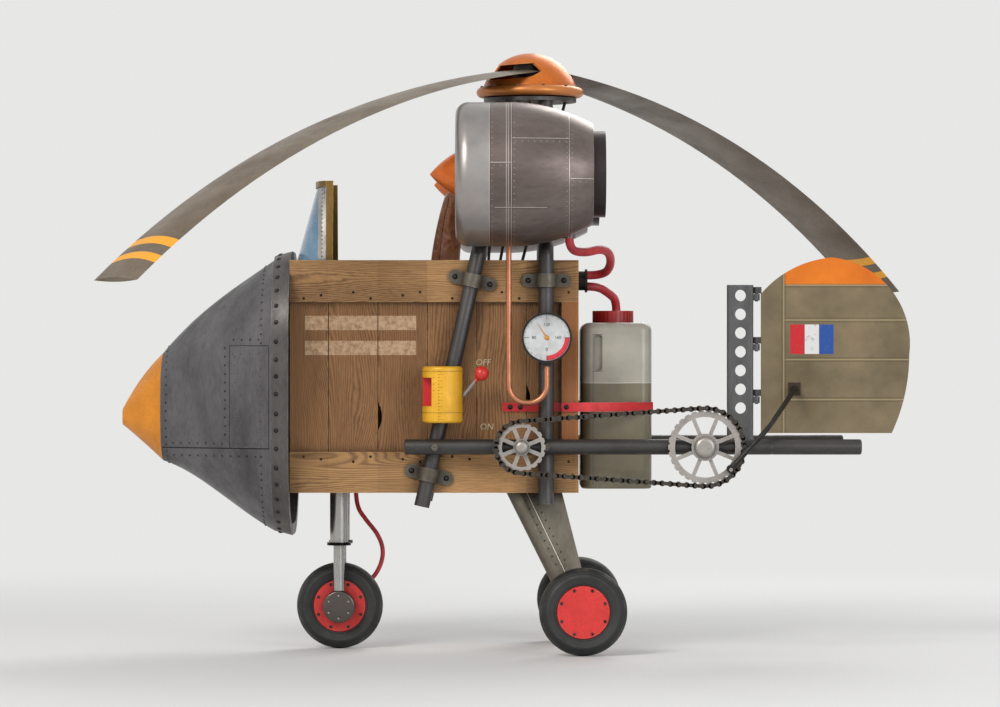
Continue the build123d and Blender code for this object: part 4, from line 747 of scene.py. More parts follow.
pod_metal, pod_tree, pod_shader, pod_base = metal(
    "pod_metal", (128, 116, 112), (84, 74, 71), (188, 182, 176), 0.34, 0.8, 4.5, 0.7, dirt_and_shade=0.4, relief=0.12,
    stretch=(0.35, 1, 1))
x, y, z = coordinates(pod_tree)
pod_r = away(pod_tree, math_of(pod_tree, "SUBTRACT", math_of(pod_tree, "ABSOLUTE", y), POD_Y),
             math_of(pod_tree, "SUBTRACT", z, POD_Z))
lip_blotch = spread(pod_tree, noise(pod_tree, add(pod_tree, "ShaderNodeTexCoord").outputs["Object"], 6.0, 3.0),
                    0.3, 0.7)
lip_tone = mixed(pod_tree, lip_blotch, srgb(168, 162, 158), srgb(140, 136, 134))
pod_colour = mixed(pod_tree, math_of(pod_tree, "LESS_THAN", x, LIP_END), pod_base, lip_tone)
# Pale lines on the lip's edge, the hoops and the panel ridges are painted highlight, and the dark lines just
# behind them painted shadow
painted_highlight_lines = band(pod_tree, x, LIP_END - 0.0012, LIP_END + 0.0012)
for hoop in POD_HOOPS:
    painted_highlight_lines = math_of(pod_tree, "MAXIMUM", painted_highlight_lines, band(pod_tree, x, hoop - 0.0010, hoop + 0.0010))
for start, end, height in POD_RIDGES:
    ridge = math_of(pod_tree, "MULTIPLY", band(pod_tree, x, start, end),
                    band(pod_tree, z, height - 0.0012, height + 0.0012))
    painted_highlight_lines = math_of(pod_tree, "MAXIMUM", painted_highlight_lines, ridge)
pod_colour = mixed(pod_tree, math_of(pod_tree, "MULTIPLY", painted_highlight_lines, 0.8), pod_colour, srgb(206, 196, 188))
shadow_lines = band(pod_tree, x, LIP_END + 0.0012, LIP_END + 0.0036)
for hoop in POD_HOOPS[2:]:
    shadow_lines = math_of(pod_tree, "MAXIMUM", shadow_lines, band(pod_tree, x, hoop + 0.0010, hoop + 0.0030))
for start, end, height in POD_RIDGES:
    ridge = math_of(pod_tree, "MULTIPLY", band(pod_tree, x, start, end),
                    band(pod_tree, z, height - 0.0034, height - 0.0012))
    shadow_lines = math_of(pod_tree, "MAXIMUM", shadow_lines, ridge)
pod_colour = mixed(pod_tree, math_of(pod_tree, "MULTIPLY", shadow_lines, 0.75), pod_colour, srgb(58, 50, 48))
# Inside the intake the metal is painted dark as shade, in the same colour as the soot of the nozzle ring
inside = math_of(pod_tree, "MULTIPLY", math_of(pod_tree, "LESS_THAN", pod_r, INTAKE_R),
                 math_of(pod_tree, "GREATER_THAN", x, POD_FRONT + 0.022))
inside = math_of(pod_tree, "MULTIPLY", inside, math_of(pod_tree, "LESS_THAN", x, POD_FRONT + 0.2))
burnt = math_of(pod_tree, "MULTIPLY", math_of(pod_tree, "GREATER_THAN", x, POD_REAR),
                math_of(pod_tree, "LESS_THAN", pod_r, NOZZLE_R))
pod_colour = mixed(pod_tree, math_of(pod_tree, "MAXIMUM", inside, burnt), pod_colour, srgb(62, 55, 55))
# Deeper inside both openings it is darker still: painted shade, with soot in the nozzle
deep = math_of(pod_tree, "LESS_THAN", pod_r, NOZZLE_DEEP_R)
pod_colour = mixed(pod_tree, deep, pod_colour, srgb(30, 27, 27))
pod_tree.links.new(pod_colour, pod_shader.inputs["Base Color"])
fan_metal, fan_tree, fan_shader, fan_base = metal(
    "fan_metal", (222, 112, 44), (160, 74, 28), (240, 176, 120), 0.34, 0.35, 8.0, 0.5, edge_wear=0.5,
    relief=0.1)
x, y, z = coordinates(fan_tree)
fan_r = away(fan_tree, math_of(fan_tree, "SUBTRACT", math_of(fan_tree, "ABSOLUTE", y), POD_Y),
             math_of(fan_tree, "SUBTRACT", z, POD_Z))
fan_colour = mixed(fan_tree, math_of(fan_tree, "GREATER_THAN", fan_r, SPINNER_R), fan_base, srgb(74, 72, 72))
fan_tree.links.new(fan_colour, fan_shader.inputs["Base Color"])


def hoop_spots(surface, x, pitch, centre):
    # Evenly turned spots round a pod's own axis
    spots = []
    count = max(3, round(2 * math.pi * POD_R / pitch))
    for index in range(count):
        angle = 2 * math.pi * index / count
        way = Vector((0, math.cos(angle), math.sin(angle)))
        place, facing, _, _ = surface.ray_cast(Vector((x, 0, 0)) + centre + way, -way)
        if place and (place - centre - Vector((x, 0, 0))).length > 0.18:
            spots.append((place, facing))
    return spots


for side, word in ((-1, "left"), (1, "right")):
    pod = dressed(f"engine_pod_{word}", pod_metal, "pod_aluminium", 32)
    dressed(f"fan_{word}", fan_metal, "orange_paint", 35)
    pod_skin = surface_of(pod)
    centre = Vector((0, side * POD_Y, POD_Z))
    pod_rivets = []
    for x in (LIP_END + 0.010, AXIS_X - 0.066, AXIS_X + 0.136, AXIS_X + 0.156):
        pod_rivets += hoop_spots(pod_skin, x, POD_RIVET_PITCH, centre)
    for start, end, height in POD_RIDGES[:3]:
        x = start + 0.016
        while x < end - 0.01:
            pod_rivets.append(from_side(pod_skin, x, height - 0.012, side))
            x += POD_RIVET_PITCH
    fasteners(f"pod_rivets_{word}", round_heads, pod_rivets, 0.0019, 0.0009, strip_steel, "pod_aluminium")

# Rotor head and blades: a copper-orange dome on a rounded flange turns on the posts' plate. Two drooping
# khaki blades enter it through long slots, with two yellow bands near each tip.
HUB_Z = 2.201
FLANGE_TOP_Z = HUB_Z + 0.040
BLADE_TURN = math.radians(43)
BLADE_TIP = 2.080
BLADE_BANDS = ((0.079, 0.112), (0.154, 0.192))
FLANGE_INNER_R = 0.187
HEAD_BOLTS = 12
HEAD_BOLT_CIRCLE = 0.199
HEAD_CORE_R = 0.0695

head_paint, head_tree, head_shader, head_base = metal(
    "head_paint", (218, 118, 42), (168, 82, 28), (236, 178, 118), 0.36, 0.4, 7.0, 0.55, edge=0.004,
    edge_wear=0.6, relief=0.15)
x, y, z = coordinates(head_tree)
from_axis = away(head_tree, math_of(head_tree, "SUBTRACT", x, AXIS_X), y)
on_flange = math_of(head_tree, "MULTIPLY", math_of(head_tree, "LESS_THAN", z, FLANGE_TOP_Z + 0.0005),
                    math_of(head_tree, "GREATER_THAN", from_axis, FLANGE_INNER_R))
head_colour = mixed(head_tree, math_of(head_tree, "MULTIPLY", on_flange, 0.65), head_base, srgb(196, 130, 74))
core = math_of(head_tree, "LESS_THAN", from_axis, HEAD_CORE_R)
core = math_of(head_tree, "MULTIPLY", core, math_of(head_tree, "LESS_THAN", z, FLANGE_TOP_Z + 0.092))
head_colour = mixed(head_tree, core, head_colour, srgb(60, 54, 50))
head_tree.links.new(head_colour, head_shader.inputs["Base Color"])
dressed("rotor_head", head_paint, "orange_paint", 32)
flange_bolts = []
for index in range(HEAD_BOLTS):
    angle = 2 * math.pi * (index + 0.5) / HEAD_BOLTS
    place = (AXIS_X + HEAD_BOLT_CIRCLE * math.cos(angle), HEAD_BOLT_CIRCLE * math.sin(angle),
             FLANGE_TOP_Z - 0.0005)
    flange_bolts.append((place, (0, 0, 1)))
fasteners("flange_bolts", bolt_heads, flange_bolts, 0.006, 0.0028, clamp_iron, "clamp_iron", "rotor")

blade_paint, blade_tree, blade_shader, blade_base = metal(
    "blade_paint", (116, 102, 84), (86, 74, 60), (158, 148, 130), 0.42, 0.1, 5.0, 0.7, edge_wear=0.7, dirt_and_shade=0.3,
    relief=0.18)
x, y, z = coordinates(blade_tree)
along = math_of(blade_tree, "ADD",
                math_of(blade_tree, "MULTIPLY", math_of(blade_tree, "SUBTRACT", x, AXIS_X),
                        math.cos(BLADE_TURN)),
                math_of(blade_tree, "MULTIPLY", y, math.sin(BLADE_TURN)))
along = math_of(blade_tree, "ABSOLUTE", along)
across = math_of(blade_tree, "SUBTRACT", math_of(blade_tree, "MULTIPLY", y, math.cos(BLADE_TURN)),
                 math_of(blade_tree, "MULTIPLY", math_of(blade_tree, "SUBTRACT", x, AXIS_X),
                         math.sin(BLADE_TURN)))
blade_colour = blade_base
for near, far in BLADE_BANDS:
    bar = band(blade_tree, along, BLADE_TIP - far, BLADE_TIP - near)
    blade_colour = mixed(blade_tree, bar, blade_colour, srgb(246, 168, 34))
chord_line = band(blade_tree, math_of(blade_tree, "ABSOLUTE", across), 0.0735, 0.0745)
blade_colour = mixed(blade_tree, math_of(blade_tree, "MULTIPLY", chord_line, 0.5), blade_colour,
                     srgb(70, 62, 52))
scratch_place = add(blade_tree, "ShaderNodeCombineXYZ", {0: math_of(blade_tree, "MULTIPLY", along, 3.0),
                                                         1: math_of(blade_tree, "MULTIPLY", across, 90.0),
                                                         2: 0.0})
scratches = spread(blade_tree, noise(blade_tree, scratch_place.outputs[0], 2.0, 4.0, 0.7), 0.62, 0.75, 0.0,
                   0.35)
blade_colour = mixed(blade_tree, scratches, blade_colour, srgb(150, 140, 122))
blade_tree.links.new(blade_colour, blade_shader.inputs["Base Color"])
for word in ("left", "right"):
    dressed(f"rotor_blade_{word}", blade_paint, "blade_paint", 35)

# Wheels: three plain rubber tyres with ringed walls and a grooved tread, on flat red discs held by
# eight bolts. The nose wheel's hub sits under a grey cover.
WHEEL_Z = 0.172
NOSE_WHEEL_X = AXIS_X - 0.760
MAIN_WHEEL_X = AXIS_X + 0.204
MAIN_WHEEL_Y = 0.425
TYRE_HALF = 0.052
WALL_RINGS = (0.149, 0.158, 0.166)
TREAD_GROOVES = (0.0, 0.014, 0.028)
TREAD_R = 0.160
BOLT_CIRCLE = 0.091
WHEEL_BOLTS = 8

tyre_rubber, tyre_tree, tyre_shader, tyre_base = metal(
    "tyre_rubber", (50, 50, 50), (34, 33, 32), (84, 82, 78), 0.62, 0.0, 12.0, 0.6, edge_wear=0.4, relief=0.2)
x, y, z = coordinates(tyre_tree)
at_main = math_of(tyre_tree, "GREATER_THAN", x, AXIS_X - 0.3)
wheel_x = spread(tyre_tree, at_main, 0, 1, NOSE_WHEEL_X, MAIN_WHEEL_X)
wheel_y = spread(tyre_tree, at_main, 0, 1, 0.0, MAIN_WHEEL_Y)
tyre_r = away(tyre_tree, math_of(tyre_tree, "SUBTRACT", x, wheel_x), math_of(tyre_tree, "SUBTRACT", z, WHEEL_Z))
tyre_y = math_of(tyre_tree, "ABSOLUTE", math_of(tyre_tree, "SUBTRACT", math_of(tyre_tree, "ABSOLUTE", y),
                                                wheel_y))
grooves = band(tyre_tree, tyre_r, 0.110, 0.1125)
for ring in WALL_RINGS:
    grooves = math_of(tyre_tree, "MAXIMUM", grooves, band(tyre_tree, tyre_r, ring - 0.0014, ring + 0.0014))
on_tread = math_of(tyre_tree, "GREATER_THAN", tyre_r, TREAD_R)
for groove in TREAD_GROOVES:
    cut = math_of(tyre_tree, "MULTIPLY", on_tread, band(tyre_tree, tyre_y, groove - 0.0016, groove + 0.0016))
    grooves = math_of(tyre_tree, "MAXIMUM", grooves, cut)
# The grooves and wall rings are coloured near black, painted shade in them, and the same mask sinks them as
# bumps
tyre_colour = mixed(tyre_tree, grooves, tyre_base, srgb(14, 14, 14))
dust = spread(tyre_tree, noise(tyre_tree, add(tyre_tree, "ShaderNodeTexCoord").outputs["Object"], 20.0, 5.0),
              0.45, 0.75)
dusty = math_of(tyre_tree, "MULTIPLY", math_of(tyre_tree, "MULTIPLY", dust, on_tread), 0.5)
tyre_colour = mixed(tyre_tree, dusty, tyre_colour, srgb(104, 98, 88))
tyre_tree.links.new(tyre_colour, tyre_shader.inputs["Base Color"])
give_relief(tyre_tree, tyre_shader, math_of(tyre_tree, "SUBTRACT", 1.0, grooves), 0.9, 0.002)
disc_red = metal("disc_red", (226, 62, 58), (170, 36, 34), (236, 150, 140), 0.36, 0.1, 9.0, 0.5, edge_wear=0.8,
                 relief=0.1)[0]
disc_bolt = metal("disc_bolt", (54, 44, 42), (28, 24, 22), (110, 100, 96), 0.45, 0.6, 20.0, 0.5)[0]
for word, body, centre, faces in (("nose", "nose_wheel", (NOSE_WHEEL_X, 0.0), (-1, 1)),
                                  ("main", "main_wheel_left", (MAIN_WHEEL_X, -MAIN_WHEEL_Y), (-1,)),
                                  ("main", "main_wheel_right", (MAIN_WHEEL_X, MAIN_WHEEL_Y), (1,))):
    suffix = "" if word == "nose" else body[len("main_wheel"):]
    dressed(f"{word}_tyre{suffix}", tyre_rubber, "tyre_rubber", 30)
    dressed(f"{word}_rim{suffix}", disc_red, "red_paint", 30)
    wheel_bolts = []
    for side in faces:
        face_y = centre[1] + side * (TYRE_HALF - (0.008 if word == "nose" else 0.005))
        for index in range(WHEEL_BOLTS):
            angle = math.radians(360 * (index + 0.5) / WHEEL_BOLTS)
            place = (centre[0] + BOLT_CIRCLE * math.cos(angle), face_y, WHEEL_Z + BOLT_CIRCLE * math.sin(angle))
            wheel_bolts.append((place, (0, side, 0)))
    fasteners(f"{body}_bolts", bolt_heads, wheel_bolts, 0.0068, 0.0016, disc_bolt, "clamp_iron", body)

# Landing gear: the nose wheel hangs on two chromed oil legs with black collars. Each main leg is a
# folded steel fairing with a riveted seam down its middle.
OLEO_FOOT_Z = 0.416
LEG_SEAM = ((AXIS_X - 0.010, 0.622), (AXIS_X + 0.124, 0.345))
SEAM_RIVET_OUT = 0.019
SEAM_RIVETS = 9
HUB_SCREWS = 6
HUB_SCREW_CIRCLE = 0.045

oleo_chrome, oleo_tree, oleo_shader, oleo_base = metal(
    "oleo_chrome", (176, 174, 170), (122, 120, 116), (214, 212, 208), 0.24, 0.9, 10.0, 0.5, dirt_and_shade=0.5,
    relief=0.06, stretch=(1, 1, 0.2))
x, y, z = coordinates(oleo_tree)
collar = band(oleo_tree, z, OLEO_FOOT_Z - 0.001, OLEO_FOOT_Z + 0.0122)
oleo_colour = mixed(oleo_tree, collar, oleo_base, srgb(24, 23, 23))
hub_r = away(oleo_tree, math_of(oleo_tree, "SUBTRACT", x, NOSE_WHEEL_X),
             math_of(oleo_tree, "SUBTRACT", z, WHEEL_Z))
cover = math_of(oleo_tree, "MULTIPLY", math_of(oleo_tree, "LESS_THAN", hub_r, 0.066),
                math_of(oleo_tree, "LESS_THAN", z, 0.236))
oleo_colour = mixed(oleo_tree, cover, oleo_colour, srgb(96, 90, 86))
oleo_tree.links.new(oleo_colour, oleo_shader.inputs["Base Color"])
hub_screws = []
for side, word in ((-1, "left"), (1, "right")):
    leg = dressed(f"nose_leg_{word}", oleo_chrome, "leg_steel", 30)
    leg_low, leg_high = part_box(f"nose_leg_{word}")
    cover_y = leg_low.y if side < 0 else leg_high.y
    for index in range(HUB_SCREWS):
        angle = math.radians(360 * (index + 0.5) / HUB_SCREWS)
        place = (NOSE_WHEEL_X + HUB_SCREW_CIRCLE * math.cos(angle), cover_y,
                 WHEEL_Z + HUB_SCREW_CIRCLE * math.sin(angle))
        hub_screws.append((place, (0, side, 0)))
fasteners("hub_screws", round_heads, hub_screws, 0.0042, 0.0022, strip_steel, "leg_steel")

leg_iron, leg_tree, leg_shader, leg_base = metal(
    "leg_iron", (112, 106, 94), (74, 68, 58), (160, 152, 136), 0.42, 0.55, 6.0, 0.7, relief=0.15,
    stretch=(1, 1, 0.4))
x, y, z = coordinates(leg_tree)
(seam_x0, seam_z0), (seam_x1, seam_z1) = LEG_SEAM
seam_way = Vector((seam_x1 - seam_x0, seam_z1 - seam_z0)).normalized()
off_seam = math_of(leg_tree, "ADD",
                   math_of(leg_tree, "MULTIPLY", math_of(leg_tree, "SUBTRACT", x, seam_x0), -seam_way.y),
                   math_of(leg_tree, "MULTIPLY", math_of(leg_tree, "SUBTRACT", z, seam_z0), seam_way.x))
# The pale line down the seam is a painted highlight, and the dark line beside it a painted shadow
leg_colour = mixed(leg_tree, band(leg_tree, off_seam, -0.0014, 0.0014), leg_base, srgb(196, 188, 170))
leg_colour = mixed(leg_tree, band(leg_tree, off_seam, 0.0014, 0.0036), leg_colour, srgb(44, 40, 36))
leg_tree.links.new(leg_colour, leg_shader.inputs["Base Color"])
for side, word in ((-1, "left"), (1, "right")):
    leg = dressed(f"main_leg_{word}", leg_iron, "clamp_iron", 40)
    leg_skin = surface_of(leg)
    leg_rivets = []
    for index in range(SEAM_RIVETS):
        share = (index + 0.5) / SEAM_RIVETS
        x = seam_x0 + (seam_x1 - seam_x0) * share
        z = seam_z0 + (seam_z1 - seam_z0) * share
        for out in (-SEAM_RIVET_OUT, SEAM_RIVET_OUT):
            leg_rivets.append(from_side(leg_skin, x - out * seam_way.y, z + out * seam_way.x, side))
    fasteners(f"leg_rivets_{word}", round_heads, leg_rivets, 0.0036, 0.0022, rivet_steel, "clamp_iron")

# Tail: a perforated grey channel post, and a canvas rudder hinged behind it. The canvas is sewn in
# panels over a frame, with an orange top and a block of red, white and blue.
RUDDER_FACE = 0.013
HINGE_END_X = AXIS_X + 0.9235
SEWN_UPRIGHT = AXIS_X + 1.0136
SEWN_Z = (0.868, 1.530)
SEWN_ROWS = (1.451, 1.312, 1.154, 0.994)
SEAM_HALF = 0.0035
STITCH_OUT = 0.0082
STITCH_PITCH = 0.0115
RUDDER_REAR = AXIS_X + 1.520
FLAG_Z = (1.176, 1.294)
FLAG = ((1.040, 1.0965, (204, 44, 52)), (1.098, 1.1545, (226, 224, 222)), (1.157, 1.213, (44, 84, 158)))
EYE_PLATE = (AXIS_X + 1.031, AXIS_X + 1.081, 1.010, 1.062)

post_grey = metal("post_grey", (104, 104, 104), (64, 64, 64), (168, 168, 166), 0.40, 0.6, 9.0, 0.7,
                  stretch=(1, 1, 0.3))[0]
dressed("tail_post", post_grey, "pod_aluminium", 30)
canvas, canvas_tree, canvas_shader = new_material("rudder_canvas", 0.85, 0.0)
x, y, z = coordinates(canvas_tree)
place = add(canvas_tree, "ShaderNodeTexCoord").outputs["Object"]
warp_threads = add(canvas_tree, "ShaderNodeTexWave", {"Vector": place, "Scale": 150.0, "Distortion": 0.4},
                   bands_direction="X").outputs["Fac"]
weft_threads = add(canvas_tree, "ShaderNodeTexWave", {"Vector": place, "Scale": 150.0, "Distortion": 0.4},
                   bands_direction="Z").outputs["Fac"]
threads = math_of(canvas_tree, "MULTIPLY", math_of(canvas_tree, "ADD", warp_threads, weft_threads), 0.5)
stain = spread(canvas_tree, noise(canvas_tree, place, 5.0, 6.0, 0.6), 0.32, 0.72)
cloth = mixed(canvas_tree, stain, srgb(142, 126, 98), srgb(104, 92, 70))
cloth = mixed(canvas_tree, math_of(canvas_tree, "MULTIPLY", threads, 0.22), cloth, srgb(78, 68, 52))
behind = math_of(canvas_tree, "GREATER_THAN", x, SEWN_UPRIGHT + 0.003)
orange_top = math_of(canvas_tree, "MULTIPLY", behind, math_of(canvas_tree, "GREATER_THAN", z, SEWN_ROWS[0]))
cloth = mixed(canvas_tree, orange_top, cloth, mixed(canvas_tree, stain, srgb(236, 128, 36), srgb(208, 104, 26)))
seams = band(canvas_tree, x, SEWN_UPRIGHT - SEAM_HALF, SEWN_UPRIGHT + SEAM_HALF)
seam_edges = math_of(canvas_tree, "MAXIMUM", band(canvas_tree, x, SEWN_UPRIGHT - SEAM_HALF - 0.002,
                                                  SEWN_UPRIGHT - SEAM_HALF),
                     band(canvas_tree, x, SEWN_UPRIGHT + SEAM_HALF, SEWN_UPRIGHT + SEAM_HALF + 0.002))
for row in SEWN_ROWS:
    level = math_of(canvas_tree, "MULTIPLY", behind, band(canvas_tree, z, row - SEAM_HALF, row + SEAM_HALF))
    seams = math_of(canvas_tree, "MAXIMUM", seams, level)
    edge = math_of(canvas_tree, "MAXIMUM", band(canvas_tree, z, row - SEAM_HALF - 0.002, row - SEAM_HALF),
                   band(canvas_tree, z, row + SEAM_HALF, row + SEAM_HALF + 0.002))
    seam_edges = math_of(canvas_tree, "MAXIMUM", seam_edges, math_of(canvas_tree, "MULTIPLY", behind, edge))
cloth = mixed(canvas_tree, math_of(canvas_tree, "MULTIPLY", seams, 0.7), cloth, srgb(164, 148, 112))
# Dark lines on both sides of each seam are painted shade in the creases beside it
cloth = mixed(canvas_tree, math_of(canvas_tree, "MULTIPLY", seam_edges, 0.6), cloth, srgb(64, 54, 42))
flag_worn = spread(canvas_tree, noise(canvas_tree, place, 60.0, 6.0, 0.7), 0.30, 0.42)
on_face = math_of(canvas_tree, "GREATER_THAN", math_of(canvas_tree, "ABSOLUTE", y), RUDDER_FACE - 0.0002)
for start, end, colour in FLAG:
    bar = math_of(canvas_tree, "MULTIPLY", band(canvas_tree, x, AXIS_X + start, AXIS_X + end),
                  band(canvas_tree, z, *FLAG_Z))
    bar = math_of(canvas_tree, "MULTIPLY", math_of(canvas_tree, "MULTIPLY", bar, flag_worn), on_face)
    cloth = mixed(canvas_tree, bar, cloth, srgb(*colour))
plate = math_of(canvas_tree, "MULTIPLY", band(canvas_tree, x, *EYE_PLATE[:2]),
                band(canvas_tree, z, *EYE_PLATE[2:]))
proud = math_of(canvas_tree, "GREATER_THAN", math_of(canvas_tree, "ABSOLUTE", y), RUDDER_FACE + 0.0005)
plate = math_of(canvas_tree, "MULTIPLY", plate, proud)
cloth = mixed(canvas_tree, plate, cloth, srgb(62, 50, 38))
hinges = math_of(canvas_tree, "LESS_THAN", x, HINGE_END_X)
cloth = mixed(canvas_tree, hinges, cloth, srgb(78, 76, 74))
canvas_tree.links.new(cloth, canvas_shader.inputs["Base Color"])
sag = math_of(canvas_tree, "MULTIPLY", noise(canvas_tree, place, 7.0, 2.0), 3.0)
give_relief(canvas_tree, canvas_shader, math_of(canvas_tree, "ADD", math_of(canvas_tree, "ADD", threads, sag),
                                                math_of(canvas_tree, "MULTIPLY", seams, 1.5)), 0.55, 0.0009)
rudder_piece = dressed("rudder", canvas, "rudder_cloth", 30)
rudder_skin = surface_of(rudder_piece)

thread_dark = metal("rudder_thread", (58, 48, 36), (40, 33, 25), (90, 78, 60), 0.8, 0.0, 60.0, 0.5)[0]
stitch_tree = bpy.data.node_groups.new("stitches", "GeometryNodeTree")
stitch_tree.interface.new_socket("Geometry", in_out="INPUT", socket_type="NodeSocketGeometry")
for label, value in (("Length", 0.007), ("Width", 0.0016), ("Height", 0.0008)):
    stitch_tree.interface.new_socket(label, in_out="INPUT", socket_type="NodeSocketFloat").default_value = value
stitch_tree.interface.new_socket("Finish", in_out="INPUT", socket_type="NodeSocketMaterial")
stitch_tree.interface.new_socket("Geometry", in_out="OUTPUT", socket_type="NodeSocketGeometry")
stitch_in = stitch_tree.nodes.new("NodeGroupInput").outputs
ball = add(stitch_tree, "GeometryNodeMeshUVSphere", {"Segments": 6, "Rings": 4, "Radius": 0.5}).outputs[0]
ball_size = add(stitch_tree, "ShaderNodeCombineXYZ",
                {0: stitch_in["Length"], 1: stitch_in["Width"], 2: stitch_in["Height"]})
ball = add(stitch_tree, "GeometryNodeTransform", {"Geometry": ball, "Scale": ball_size.outputs[0]}).outputs[0]
run_way = add(stitch_tree, "GeometryNodeInputNamedAttribute", {"Name": "run"},
              data_type="FLOAT_VECTOR").outputs[0]
out_way = add(stitch_tree, "GeometryNodeInputNamedAttribute", {"Name": "facing"},
              data_type="FLOAT_VECTOR").outputs[0]
turn_out = add(stitch_tree, "FunctionNodeAlignRotationToVector", {"Vector": out_way}, axis="Z").outputs[0]
turn_run = add(stitch_tree, "FunctionNodeAlignRotationToVector", {"Rotation": turn_out, "Vector": run_way},
               axis="X", pivot_axis="Z").outputs[0]
sewn = add(stitch_tree, "GeometryNodeInstanceOnPoints", {"Points": stitch_in["Geometry"], "Instance": ball,
                                                         "Rotation": turn_run}).outputs[0]
sewn = add(stitch_tree, "GeometryNodeRealizeInstances", {0: sewn}).outputs[0]
sewn = add(stitch_tree, "GeometryNodeSetMaterial", {0: sewn, "Material": stitch_in["Finish"]}).outputs[0]
put(stitch_tree, stitch_tree.nodes.new("NodeGroupOutput").inputs[0], sewn)


def stitches(name, spots, length, width, material, slot, body=BODY):
    # Spots are (place, facing, direction of the thread)
    start = bpy.data.meshes.new(name)
    start.from_pydata([tuple(spot[0]) for spot in spots], [], [])
    for label, index in (("facing", 1), ("run", 2)):
        ways = start.attributes.new(label, "FLOAT_VECTOR", "POINT")
        ways.data.foreach_set("vector", [value for spot in spots for value in spot[index]])
    piece = grown(name, stitch_tree, start, {"Length": length, "Width": width, "Height": width * 0.7,
                                             "Finish": material})
    return fix(piece, body, slot)


rudder_stitches = []
for side in (-1, 1):
    for out in (-STITCH_OUT, STITCH_OUT):
        z = SEWN_Z[0]
        while z < SEWN_Z[1]:
            if from_side(rudder_skin, SEWN_UPRIGHT + out, z + 0.01, side)[0]:
                rudder_stitches.append(((SEWN_UPRIGHT + out, side * RUDDER_FACE, z), (0, side, 0), (0, 0, 1)))
            z += STITCH_PITCH
        for row in SEWN_ROWS:
            x = SEWN_UPRIGHT + 0.018
            while x < RUDDER_REAR:
                here = from_side(rudder_skin, x + 0.012, row + out, side)[0]
                if here and not (out > 0 and row == SEWN_ROWS[0]):
                    rudder_stitches.append(((x, side * RUDDER_FACE, row + out), (0, side, 0), (1, 0, 0)))
                x += STITCH_PITCH
stitches("rudder_stitches", rudder_stitches, 0.0072, 0.0019, thread_dark, "rudder_cloth", "rudder")

# Chain drive: a heavy roller chain of seventy links round two cast alloy sprockets, and a bent black
# rod with a ball at its end that pushes the rudder from the big sprocket's crank.
CHAIN_Y = -0.4706
CHAIN_PITCH = 0.03175
CHAIN_LINKS = 70
SMALL_HUB = AXIS_X - 0.036
BIG_HUB = AXIS_X + 0.6765826
SMALL_WRAP_R = 20 * CHAIN_PITCH / (2 * math.pi)
BIG_WRAP_R = 30 * CHAIN_PITCH / (2 * math.pi)
LINK_HEIGHT = 0.0235
LINK_PLATE = 0.0019
INNER_PLATE_Y = 0.0075
OUTER_PLATE_Y = 0.0095
ROLLER_R = 0.0078
PIN_R = 0.0040

chain_steel = metal("chain_steel", (84, 78, 72), (44, 38, 34), (150, 142, 132), 0.38, 0.8, 40.0, 0.7,
                    edge=0.0015)[0]
alloy = metal("sprocket_alloy", (176, 170, 164), (110, 104, 98), (218, 214, 208), 0.40, 0.7, 14.0, 0.6)[0]
rod_black = metal("rod_black", (44, 42, 40), (26, 25, 24), (96, 92, 88), 0.4, 0.5, 14.0, 0.5)[0]
dressed("sprocket_small", alloy, "sprocket_alloy", 32)
dressed("sprocket_big", alloy, "sprocket_alloy", 32)
dressed("push_rod", rod_black, "black_paint", 35)


def chain_place(travel):
    # A point of the pitch line, a distance along it from the top of the small sprocket
    span = BIG_HUB - SMALL_HUB
    wrap = math.asin((BIG_WRAP_R - SMALL_WRAP_R) / span)
    straight = span * math.cos(wrap)
    round_big = BIG_WRAP_R * (math.pi + 2 * wrap)
    round_small = SMALL_WRAP_R * (math.pi - 2 * wrap)
    travel %= 2 * straight + round_big + round_small
    if travel < straight:
        return (SMALL_HUB - SMALL_WRAP_R * math.sin(wrap) + travel * math.cos(wrap),
                BOOM_Z + SMALL_WRAP_R * math.cos(wrap) + travel * math.sin(wrap))
    travel -= straight
    if travel < round_big:
        angle = math.pi / 2 + wrap - travel / BIG_WRAP_R
        return BIG_HUB + BIG_WRAP_R * math.cos(angle), BOOM_Z + BIG_WRAP_R * math.sin(angle)
    travel -= round_big
    if travel < straight:
        return (BIG_HUB - BIG_WRAP_R * math.sin(wrap) - travel * math.cos(wrap),
                BOOM_Z - BIG_WRAP_R * math.cos(wrap) + travel * math.sin(wrap))
    travel -= straight
    angle = -math.pi / 2 - wrap - travel / SMALL_WRAP_R
    return SMALL_HUB + SMALL_WRAP_R * math.cos(angle), BOOM_Z + SMALL_WRAP_R * math.sin(angle)


chain_tree = bpy.data.node_groups.new("roller_chain", "GeometryNodeTree")
chain_tree.interface.new_socket("Geometry", in_out="INPUT", socket_type="NodeSocketGeometry")
for label, value in (("Pitch", 0.03), ("Link Height", 0.02), ("Plate", 0.002), ("Inner Plate", 0.007),
                     ("Outer Plate", 0.009), ("Roller Radius", 0.008), ("Pin Radius", 0.004)):
    chain_tree.interface.new_socket(label, in_out="INPUT", socket_type="NodeSocketFloat").default_value = value
chain_tree.interface.new_socket("Finish", in_out="INPUT", socket_type="NodeSocketMaterial")
chain_tree.interface.new_socket("Geometry", in_out="OUTPUT", socket_type="NodeSocketGeometry")
chain_in = chain_tree.nodes.new("NodeGroupInput").outputs


def joined(tree, *parts):
    join = add(tree, "GeometryNodeJoinGeometry")
    for part in parts:
        tree.links.new(part, join.inputs[0])
    return join.outputs[0]


